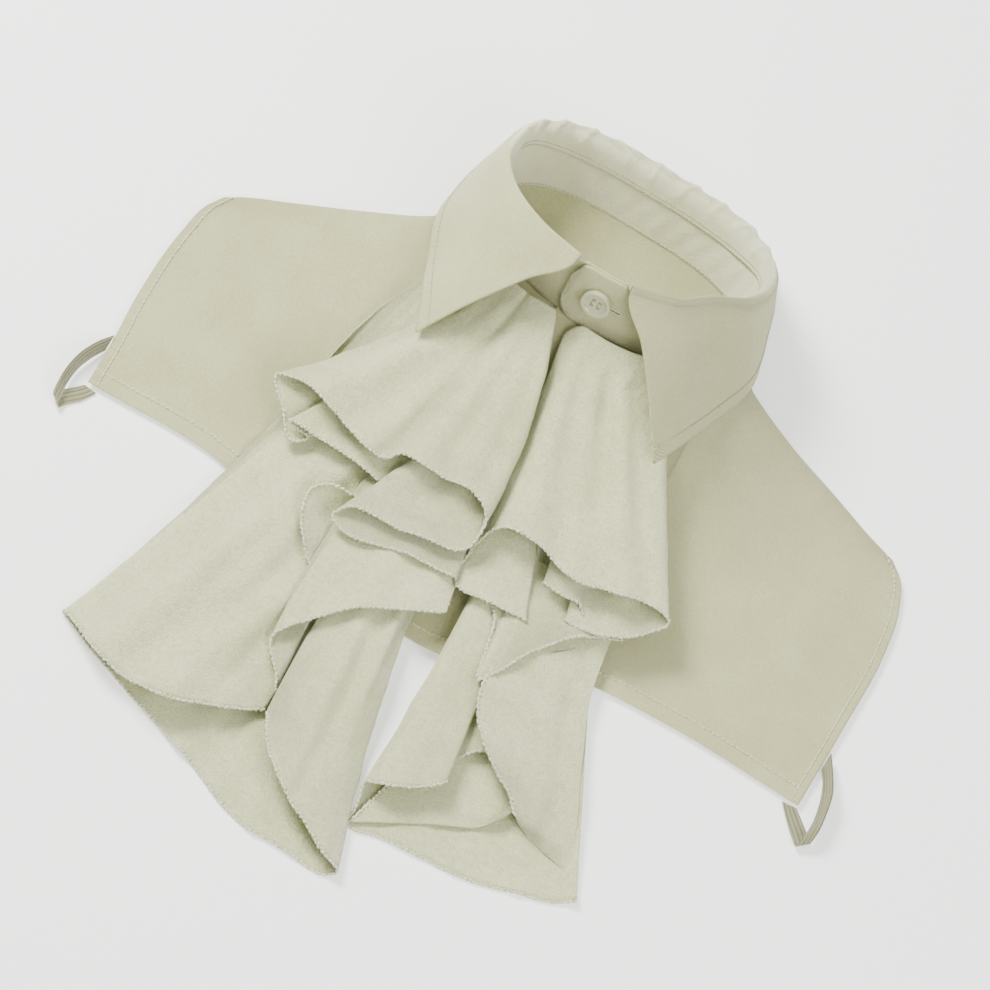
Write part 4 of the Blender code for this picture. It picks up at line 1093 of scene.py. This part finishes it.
# %% Soft ridges and troughs between the fold lines
# Columns: place, from across, down, to across, down, width, lift. Layers above each other move together.
UPPER_LEFT_SWELLS = (
    ("a_ridge", -3.6, 3.0, -8.9, 10.6, 0.8, 0.11),
    ("a_trough", -3.2, 3.4, -6.9, 11.2, 0.7, -0.11),
    ("a_second", -2.9, 3.2, -5.7, 11.5, 0.55, 0.06),
    ("b_ridge", -2.4, 3.0, -3.3, 11.0, 0.6, 0.09),
    ("b_trough", -2.0, 3.2, -1.9, 11.0, 0.6, -0.10),
    ("b_second", -1.6, 3.0, -0.7, 10.8, 0.5, 0.08),
)
UPPER_RIGHT_SWELLS = (
    ("c_ridge", 0.8, 3.0, 2.9, 11.3, 0.6, 0.08),
    ("c_trough", 1.2, 3.0, 4.3, 11.6, 0.55, -0.10),
    ("r_ridge", 2.0, 3.0, 5.7, 11.8, 0.6, 0.09),
    ("r_trough", 2.6, 3.0, 7.1, 11.7, 0.6, -0.10),
    ("r_second", 3.1, 3.0, 8.4, 11.3, 0.6, 0.10),
    ("r_last", 3.7, 3.0, 9.5, 11.0, 0.5, -0.08),
)
# The lower left flounce also sinks where the pocket fold opens above it
LOWER_LEFT_SWELLS = (
    ("pocket", -5.6, 14.6, -5.2, 17.2, 1.3, -0.22),
    ("lobe_ridge", -6.6, 14.0, -12.2, 26.0, 0.9, 0.12),
    ("lobe_trough", -5.9, 19.0, -10.2, 26.6, 0.8, -0.13),
    ("lobe_second", -5.2, 19.0, -8.2, 26.6, 0.8, 0.10),
    ("lobe_third", -4.6, 19.0, -6.2, 26.0, 0.6, -0.10),
    ("ground_left", -7.6, 26.0, -6.2, 28.4, 0.9, 0.12),
    ("ground_right", -2.6, 26.4, -1.2, 29.8, 0.8, 0.10),
    ("front_ridge", -2.2, 17.0, -0.8, 27.0, 0.6, 0.09),
    ("front_trough", -1.6, 17.0, 0.9, 28.0, 0.5, -0.09),
)

# %% Fold lines of the lower right tier
LOWER_RIGHT = (
    ("tip", 1.9, 2.0, 0.08, 0.0, 13.95, 25.2, 0.20),
    ("ground_first", 1.9, 2.6, 0.07, 0.0, 13.0, 25.8, 0.08),
    ("ground_second", 1.9, 3.2, 0.06, 0.0, 11.35, 26.3, 0.07),
    ("ground_third", 1.9, 3.8, 0.06, 0.0, 9.0, 26.95, 0.07),
    ("ground_fourth", 1.9, 4.4, 0.06, 0.0, 6.5, 27.2, 0.07),
    ("ground_fifth", 1.8, 5.0, 0.06, 0.0, 4.2, 27.4, 0.07),
    ("ground_last", 1.6, 5.4, 0.08, 0.2, 2.8, 27.65, 0.08),
    ("turn", 1.2, 5.3, 0.18, 0.4, 2.50, 26.4, 0.36),
    ("roll_left", 1.0, 5.0, 0.30, 0.45, 2.40, 25.4, 0.85),
    ("roll_first", 1.4, 5.0, 0.42, 0.2, 2.8, 25.25, 1.20),
    ("roll_second", 1.9, 5.0, 0.46, 0.0, 3.7, 24.9, 1.35),
    ("roll_third", 2.4, 5.0, 0.46, 0.0, 4.7, 24.3, 1.30),
    ("roll_right", 2.8, 5.2, 0.44, 0.0, 5.62, 23.5, 1.10),
    ("dip", 3.2, 5.2, 0.38, 0.0, 5.42, 22.7, 0.78),
    ("valley", 3.5, 5.4, 0.34, 0.0, 5.75, 22.0, 0.64),
    ("far_side", 4.1, 5.8, 0.32, 0.0, 6.7, 21.25, 0.66),
    ("far_end", 4.6, 6.2, 0.32, 0.0, 7.4, 20.8, 0.62),
)
# The inner ruffle on the right rolls sideways: its rows give the edge that lies on top, the fold at
# the right and the layer that runs back underneath, each as across, down, lift.
INNER_RIGHT = (
    ("root", 4.6, 7.2, 0.62, 5.7, 7.3, 0.42, 5.0, 7.7, 0.20),
    ("upper", 6.1, 10.0, 0.80, 7.2, 10.2, 0.62, 6.4, 10.6, 0.44),
    ("hidden", 8.1, 12.9, 0.66, 8.7, 13.0, 0.50, 7.2, 13.4, 0.40),
    ("first", 7.9, 14.6, 0.70, 8.9, 14.8, 0.40, 6.7, 15.2, 0.34),
    ("second", 6.3, 16.3, 0.95, 8.6, 16.8, 0.40, 5.8, 17.2, 0.32),
    ("third", 5.2, 18.5, 1.36, 8.2, 18.7, 0.42, 4.9, 19.4, 0.32),
    ("fourth", 6.2, 20.5, 1.30, 8.5, 20.6, 0.44, 4.3, 21.4, 0.32),
    ("fifth", 7.4, 21.6, 1.10, 8.9, 22.0, 0.46, 3.7, 23.6, 0.30),
    ("sixth", 8.7, 22.4, 0.88, 9.1, 22.9, 0.48, 3.2, 25.7, 0.28),
    ("tip", 9.2, 23.1, 0.62, 8.3, 24.4, 0.36, 2.7, 27.5, 0.22),
)
# Its top layer drapes on to the right until it lies along the edge of the lower flounce
DRAPE = (
    ("hidden", 8.9, 13.0, 0.60, 0.0, 7.4, 12.9, 0.78),
    ("first", 9.2, 14.8, 0.45, 0.0, 6.9, 14.4, 0.86),
    ("second", 9.65, 16.8, 0.34, 0.0, 5.6, 16.0, 1.16),
    ("third", 10.5, 18.7, 0.28, 0.0, 4.75, 18.35, 1.58),
    ("fourth", 11.4, 20.6, 0.26, 0.0, 5.7, 20.45, 1.55),
    ("fifth", 12.1, 22.0, 0.24, 0.0, 7.0, 21.55, 1.35),
    ("sixth", 12.4, 22.8, 0.22, 0.0, 8.5, 22.4, 1.10),
    ("corner", 12.7, 23.4, 0.18, 0.0, 9.35, 23.2, 0.80),
    ("down", 12.9, 23.9, 0.13, 0.0, 9.95, 23.5, 0.36),
    ("ground", 13.0, 24.3, 0.10, 0.0, 10.6, 23.9, 0.11),
)
DRAPE_SWELLS = (
    ("ridge", 7.6, 16.5, 10.3, 23.0, 0.55, 0.06),
    ("trough", 8.6, 16.5, 11.1, 23.0, 0.50, -0.06),
    ("edge_ridge", 9.3, 17.5, 11.9, 23.2, 0.40, 0.03),
)

# %% [markdown]
# ## From fold lines to cloth
# The ruffles lie on the lapped fronts, and beyond the hem they come down to the table. Their lifts are
# added to that ground. A smooth curve through each row of matching points joins the fold lines to a
# surface. On top come slow swells in the cloth and a small quick wave near the overlocked hem, which
# its stretching under the overlocker leaves.

# %% The flounce maker
RUFFLE_CLOTH = 0.05
LAPPED_FRONTS = 0.26
GROUND_STARTS_DOWN = 20.5
GROUND_REACHED = 25.0
FOLD_SPANS = 12
ROWS_TO_HEM = 90
HEM_WAVE = 1.9
FAN_WAVE = 3.4
FAN_LIFT = 0.07
FLOUNCE_SWELL = (2.6, 0.035)
FLOUNCE_QUIVER = (1.1, 0.010)
ROLL_SWELL = (2.2, 0.02)
ROLL_SPANS = 14
ROLL_SHARE = 0.62
ROLL_CROWN = 0.05
LAYER_STEP = 0.07
HEM_WAVE_LIFT = 0.02
TABLE_CLEARANCE = 0.04
SWELL_GAIN = 2.1


def ruffle_ground(across, down):
    """The height that the ruffles lie on."""
    beyond = ease(GROUND_STARTS_DOWN, GROUND_REACHED, down)
    return panel_height(across, down) + mix(LAPPED_FRONTS, -FLAT_HEIGHT, beyond)


def lay_ruffle(points):
    """Lays points whose third number is a lift above the ruffles' ground."""
    ground = ruffle_ground(points[..., 0], points[..., 1])
    return lay(np.concatenate([points[..., :2], (points[..., 2] + ground)[..., None]], axis=-1))


def flounce_grid(table, seed, dents=()):
    """A flounce from its fold lines, with its dents, its swells and the wave along its hem."""
    roots = np.array([row[1:4] for row in table])
    bows = np.array([row[4] for row in table])
    hems = np.array([row[5:8] for row in table])
    share = np.linspace(0.0, 1.0, ROWS_TO_HEM + 1)[:, None, None]
    lines = mix(roots[None], hems[None], share)
    lines[..., 0] += bows * 4.0 * share[..., 0] * (1.0 - share[..., 0])
    flat = smooth(lines.transpose(1, 0, 2), FOLD_SPANS).transpose(1, 0, 2)
    flat[..., 2] += SWELL_GAIN * creases(flat, dents)
    grid = lay_ruffle(flat)
    along_hem = distances(grid[-1])
    near_hem = ease(0.82, 1.0, share[..., 0])
    beat = along_hem * math.tau / HEM_WAVE + 1.8 * np.sin(along_hem * 0.8 + seed)
    wave = HEM_WAVE_LIFT * near_hem * np.sin(beat)
    fan = FAN_LIFT * np.sin(along_hem * math.tau / FAN_WAVE + 1.3 * np.sin(along_hem * 0.45 + seed))
    swell = ripple(grid, seed, *FLOUNCE_SWELL) + ripple(grid, seed + 2, *FLOUNCE_QUIVER) + fan
    grid = raised(grid, wave + swell * ease(0.0, 0.3, share[..., 0]))
    grid[..., 2] = np.maximum(grid[..., 2], TABLE_CLEARANCE)
    return grid


def rolled_grid(table, seed):
    """A ruffle that rolls over sideways: top edge, crown, fold, the layer below and its edge."""
    sections = []
    for _, *numbers in table:
        edge, fold, under = (np.array(numbers[k:k + 3]) for k in (0, 3, 6))
        above = mix(edge, fold, ROLL_SHARE)
        above[2] += (edge[2] - under[2]) * ROLL_CROWN
        below = mix(under, fold, ROLL_SHARE)
        below[2] = min(under[2], fold[2] - LAYER_STEP)
        sections.append([edge, above, fold, below, under])
    over_the_roll = smooth(np.array(sections).transpose(1, 0, 2), ROLL_SPANS)
    flat = smooth(over_the_roll.transpose(1, 0, 2), ROLL_SPANS).transpose(1, 0, 2)
    return raised(lay_ruffle(flat), ripple(flat, seed, *ROLL_SWELL))


def hemmed_piece(name, hem, grid, *nodes, sewn=slice(None)):
    """A flounce with its overlocked hem. sewn picks the columns where the hem shows."""
    piece = cloth_sheet(name, grid, RUFFLE_CLOTH, crepe)
    settle(piece, *nodes)
    root_and_hem = [round(length_of(edge), 1) for edge in (grid[0], grid[-1])]
    print(name, "root and hem:", *root_and_hem, "centimetres")
    overlocked_edge(hem, grid[-1, sewn])
    return piece


def tier_flounce(tier, side, grid):
    """A flounce that stands for the solid ruffle of the same tier and side."""
    return hemmed_piece(f"{tier}_flounce_{side}", f"{tier}_hem_{side}", grid, f"{tier}_ruffle_{side}")


# %% The four hanging flounces
upper_left = tier_flounce("upper", "left", flounce_grid(UPPER_LEFT, 1, UPPER_LEFT_SWELLS))
upper_right = tier_flounce("upper", "right", flounce_grid(UPPER_RIGHT, 2, UPPER_RIGHT_SWELLS))
lower_left = tier_flounce("lower", "left", flounce_grid(LOWER_LEFT, 3, LOWER_LEFT_SWELLS))
lower_right = tier_flounce("lower", "right", flounce_grid(LOWER_RIGHT, 4))

# %% [markdown]
# Three small sheets fill in between the tiers. Under the upper left tier, a lip of cloth curls up round
# a shaded pocket. On the right a short apron comes from below the tongue and lies on the rolled ruffle,
# and a drape carries that ruffle's top layer out to the edge of the lower flounce.

# %% The pocket fold and the apron
# Columns: place, inner across, down, lift, bow, hem across, down, lift
POCKET = (
    ("hidden", -4.2, 13.4, 0.50, 0.0, -4.3, 13.6, 1.20),
    ("top_right", -4.5, 14.7, 0.50, 0.0, -5.15, 14.1, 1.45),
    ("top", -4.9, 15.4, 0.50, 0.0, -6.4, 14.25, 1.60),
    ("top_left", -5.1, 16.0, 0.50, 0.0, -7.05, 14.85, 1.62),
    ("left", -5.0, 16.6, 0.50, 0.0, -7.0, 15.8, 1.48),
    ("low_left", -4.8, 17.2, 0.52, 0.0, -6.2, 17.05, 1.22),
    ("low", -4.5, 17.8, 0.60, 0.0, -5.05, 18.1, 0.98),
    ("end", -4.2, 18.4, 0.68, 0.0, -4.2, 18.7, 0.80),
)
APRON = (
    ("hidden_left", 2.6, 12.2, 0.50, 0.0, 2.9, 15.0, 0.85),
    ("top_left", 3.0, 12.2, 0.52, 0.0, 3.6, 15.6, 0.95),
    ("left", 3.4, 12.2, 0.55, 0.0, 4.1, 17.2, 1.15),
    ("corner", 3.9, 12.2, 0.58, 0.0, 4.55, 18.6, 1.42),
    ("corner_right", 4.5, 12.2, 0.62, 0.0, 4.95, 18.0, 1.62),
    ("low_right", 5.3, 12.2, 0.68, 0.0, 5.8, 16.5, 1.38),
    ("mid_right", 6.2, 12.2, 0.78, 0.0, 6.9, 15.0, 1.20),
    ("high_right", 7.2, 12.2, 0.96, 0.0, 8.5, 13.8, 1.12),
    ("hidden_right", 8.0, 12.2, 1.00, 0.0, 9.5, 13.4, 1.02),
)

# %% The inner ruffles, the two folds and the side drape
inner_left = tier_flounce("inner", "left", flounce_grid(INNER_LEFT, 6))
pocket = hemmed_piece("pocket_fold", "pocket_hem", flounce_grid(POCKET, 8))
apron = hemmed_piece("apron_fold", "apron_hem", flounce_grid(APRON, 9))
inner_right = tier_flounce("inner", "right", rolled_grid(INNER_RIGHT, 7))
TO_THE_CORNER = slice(0, -2 * FOLD_SPANS)
drape = hemmed_piece("side_drape", "drape_hem", flounce_grid(DRAPE, 10, DRAPE_SWELLS),
                     sewn=TO_THE_CORNER)

# %% [markdown]
# ## The elastic loops
# A flat ribbed elastic leaves each side seam, turns over and comes back to the hem corner. It holds the
# bib round the body. Its cords show as ribs along the band, so the section itself is corrugated.

# %% Elastic loops
# Columns: place, outer edge across, down, height, inner edge across, down, height
LEFT_LOOP = (
    ("side", -19.02, 13.45, 0.40, -19.02, 14.30, 0.10),
    ("out", -19.50, 14.10, 0.75, -19.35, 14.90, 0.14),
    ("bend", -19.95, 15.10, 0.95, -19.62, 15.60, 0.14),
    ("down", -20.10, 16.00, 0.90, -19.72, 16.30, 0.14),
    ("fold", -20.10, 16.80, 0.75, -19.62, 17.20, 0.48),
    ("crease", -20.02, 17.30, 0.38, -19.46, 17.75, 0.30),
    ("under", -19.80, 17.00, 0.08, -19.20, 17.45, 0.08),
    ("back", -19.35, 16.60, 0.07, -18.75, 17.00, 0.07),
    ("corner", -18.95, 16.22, 0.07, -18.30, 16.28, 0.07),
)
RIGHT_LOOP = (
    ("side", 20.93, 12.95, 0.40, 20.93, 13.85, 0.10),
    ("out", 21.45, 13.70, 0.75, 21.35, 14.45, 0.14),
    ("bend", 21.95, 14.60, 0.95, 21.65, 15.20, 0.14),
    ("down", 22.15, 15.50, 0.90, 21.80, 15.90, 0.14),
    ("fold", 22.25, 16.60, 0.75, 21.78, 17.00, 0.48),
    ("crease", 22.20, 17.15, 0.38, 21.66, 17.60, 0.30),
    ("under", 21.90, 16.90, 0.08, 21.30, 17.35, 0.08),
    ("back", 21.40, 16.50, 0.07, 20.80, 16.90, 0.07),
    ("corner", 20.80, 16.06, 0.07, 20.05, 16.12, 0.07),
)
ELASTIC_CLOTH = 0.07
BAND_SPANS = 14
BAND_COLUMNS = 41
CORDS = 5
CORD_LIFT = 0.022


def elastic_grid(table):
    """A band between its two edges, raised in ribs over its cords."""
    outer = smooth(lay([row[1:4] for row in table]), BAND_SPANS)
    inner = smooth(lay([row[4:7] for row in table]), BAND_SPANS)
    share = np.linspace(0.0, 1.0, BAND_COLUMNS)[None, :, None]
    grid = mix(outer[:, None], inner[:, None], share)
    ribs = np.abs(np.sin(share[..., 0] * math.pi * CORDS))
    return raised(grid, CORD_LIFT * (ribs - 0.5) + np.zeros(grid.shape[:2]))


elastics = []
for side_name, table in (("left", LEFT_LOOP), ("right", RIGHT_LOOP)):
    elastic = cloth_sheet("elastic_band_" + side_name, elastic_grid(table), ELASTIC_CLOTH, elastic_knit)
    settle(elastic, "elastic_" + side_name, slot="elastic")
    elastics.append(elastic)

# %% [markdown]
# ## The button
# The button is the smallest piece and the one the eye goes to: pale resin, with a rounded rim, a
# shallow well and four holes, sewn through with a cross of thread. It starts as a cylinder that is
# inset, sunk and bevelled as it would be turned on a lathe.

# %% Button
BUTTON_RADIUS = 0.75
BUTTON_THICKNESS = 0.28
BUTTON_RIM = 0.15
HOLE_RADIUS = 0.085
HOLE_SPREAD = 0.17
SEAM_GAP = 0.04
BUTTON_TURN = 1.5
BUTTON_SEAT_RISE = 0.50
STAND_WALL_HALF = 0.06
BUTTON_BEVEL = 0.045

ring_foot = Vector(ring(0.0, 0.0))
ring_head = Vector(ring(0.0, 1.0))
button_facing = Vector((1.0, 0.0, 0.0)).cross((ring_head - ring_foot).normalized())
button_seat = Vector(ring(BUTTON_TURN, BUTTON_SEAT_RISE, OVERLAP_STEP))
button_seat += button_facing * (STAND_WALL_HALF + SEAM_GAP)
button_turn = button_facing.to_track_quat("Z", "Y").to_matrix().to_4x4()
to_button = Matrix.Translation(Vector(metres(button_seat))) @ button_turn

bpy.ops.object.select_all(action="DESELECT")
bpy.ops.mesh.primitive_cylinder_add(vertices=72, radius=BUTTON_RADIUS * CM, depth=BUTTON_THICKNESS * CM,
                                    location=(0.0, 0.0, BUTTON_THICKNESS * 0.5 * CM))
button = bpy.context.object
button.name = "shirt_button"
bpy.ops.object.transform_apply(location=True)
bpy.ops.object.mode_set(mode="EDIT")
bpy.ops.mesh.select_mode(type="FACE")
bpy.ops.mesh.select_all(action="DESELECT")
bpy.ops.object.mode_set(mode="OBJECT")
for face in button.data.polygons:
    face.select = face.normal.z > 0.9
bpy.ops.object.mode_set(mode="EDIT")
bpy.ops.mesh.inset(thickness=BUTTON_RIM * CM)
bpy.ops.mesh.inset(thickness=BUTTON_RIM * 0.5 * CM, depth=-BUTTON_THICKNESS * 0.4 * CM)
bpy.ops.mesh.inset(thickness=BUTTON_RIM * CM, depth=-BUTTON_THICKNESS * 0.04 * CM)
bpy.ops.object.mode_set(mode="OBJECT")
for number in range(4):
    side, row = (1 if number % 2 else -1), (1 if number // 2 else -1)
    spot = (HOLE_SPREAD * side * CM, HOLE_SPREAD * row * CM, 0.0)
    bpy.ops.object.select_all(action="DESELECT")
    bpy.ops.mesh.primitive_cylinder_add(vertices=20, radius=HOLE_RADIUS * CM, depth=CM, location=spot)
    drill = bpy.context.object
    bpy.context.view_layer.objects.active = button
    hole = button.modifiers.new("hole", "BOOLEAN")
    hole.object = drill
    hole.solver = "EXACT"
    bpy.ops.object.modifier_apply(modifier=hole.name)
    bpy.data.objects.remove(drill, do_unlink=True)
rounding = button.modifiers.new("rounding", "BEVEL")
rounding.width = BUTTON_BEVEL * CM
rounding.segments = 3
rounding.angle_limit = math.radians(28.0)
bpy.ops.object.select_all(action="DESELECT")
button.select_set(True)
bpy.context.view_layer.objects.active = button
bpy.ops.object.modifier_apply(modifier=rounding.name)
button.data.transform(to_button)
bpy.ops.object.shade_smooth_by_angle(angle=math.radians(40.0))
button.data.materials.append(button_resin)
settle(button, "collar_button", slot="button")

# %% Buttonhole
SLIT_TURNS = (6.2, 12.2)
SLIT_RISE = 0.49
SLIT_STITCH_RISE = 0.0208
SLIT_POINTS = 15
on_stand = OVERLAP_STEP + COLLAR_CLOTH * 0.5
slit_turns = np.linspace(*SLIT_TURNS, SLIT_POINTS)
slit_line = ring(slit_turns, SLIT_RISE, on_stand + 0.012)
slit = tube("buttonhole_slit", slit_line, np.full(SLIT_POINTS, 0.035), slit_shadow, 1)
settle(slit, slot="poplin")
upper_side = ring(slit_turns, SLIT_RISE + SLIT_STITCH_RISE, on_stand + 0.02)
lower_side = ring(slit_turns[::-1], SLIT_RISE - SLIT_STITCH_RISE, on_stand + 0.02)
round_the_slit = np.concatenate([upper_side, lower_side])
overlocked_edge("buttonhole_stitching", round_the_slit, slot="poplin", radius=0.034)

# %% Button thread
for side_of_cross in (-1, 1):
    arch = []
    for step in np.linspace(-1.0, 1.0, 13):
        height = BUTTON_THICKNESS * 0.56 + 0.045 * (1.0 - step ** 4) - 0.14 * step ** 8
        arch.append(Vector((side_of_cross * HOLE_SPREAD, step * HOLE_SPREAD * 1.1, height)))
    turned = [button_seat + button_turn.to_3x3() @ point for point in arch]
    strand = tube("button_thread_" + ("left" if side_of_cross < 0 else "right"), np.array(turned),
                  np.full(13, 0.04), stitch_thread, 1)
    settle(strand, slot="button")


# %% [markdown]
# ## The cut of every sheet
# Cloth bends but hardly stretches, so each sheet has to cover about what it was cut to. The bib panels
# are cut to their outlines laid flat, the stand and leaf to the length of the ring, and the flounces to
# parts of rings that fit in a rectangle. Each row gives the sheet, the width and length of the cloth
# that it is cut from, its own area, how it is held, what it lies on, and its stitches and hem.

# %% Cuts
CUTS = (
    (back, (0.400, 0.290), 0.0760, "laid", (), ()),
    (front_left, (0.201, 0.224), 0.0330, "draped", (back,), ("hem_stitches_left", "side_stitches_left")),
    (front_right, (0.224, 0.224), 0.0375, "draped", (back, front_left),
     ("hem_stitches_right", "side_stitches_right")),
    (stand, (0.400, 0.036), 0.0130, "folded", (front_left, front_right),
     ("stand_lower_stitches", "stand_end_stitches", "buttonhole_slit", "buttonhole_stitching")),
    (leaf, (0.440, 0.090), 0.0255, "folded", (stand,),
     ("leaf_edge_stitches", "seam_stitches_upper", "seam_stitches_lower", "neck_seam_stitches")),
    (upper_left, (0.415, 0.115), 0.0231, "gathered", (front_left, lower_left), ("upper_hem_left",)),
    (upper_right, (0.265, 0.115), 0.0180, "gathered", (front_right, lower_right), ("upper_hem_right",)),
    (inner_left, (0.180, 0.155), 0.0099, "gathered", (lower_left,), ("inner_hem_left",)),
    (pocket, (0.086, 0.026), 0.0010, "folded", (lower_left,), ("pocket_hem",)),
    (apron, (0.132, 0.062), 0.0027, "folded", (inner_right,), ("apron_hem",)),
    (inner_right, (0.215, 0.070), 0.0088, "folded", (lower_right,), ("inner_hem_right",)),
    (drape, (0.135, 0.070), 0.0055, "draped", (inner_right, lower_right), ("drape_hem",)),
    (lower_left, (0.402, 0.260), 0.0557, "gathered", (front_left,), ("lower_hem_left",)),
    (lower_right, (0.228, 0.260), 0.0281, "gathered", (front_right,), ("lower_hem_right",)),
    (elastics[0], (0.010, 0.060), None, "folded", (back,), ()),
    (elastics[1], (0.010, 0.060), None, "folded", (back,), ()),
)
for sheet, flat, area, held, below, extras in CUTS:
    print(sheet.name, "covers", round(cloth_area(sheet), 5), "square metres of a cut of",
          area or round(flat[0] * flat[1], 5))
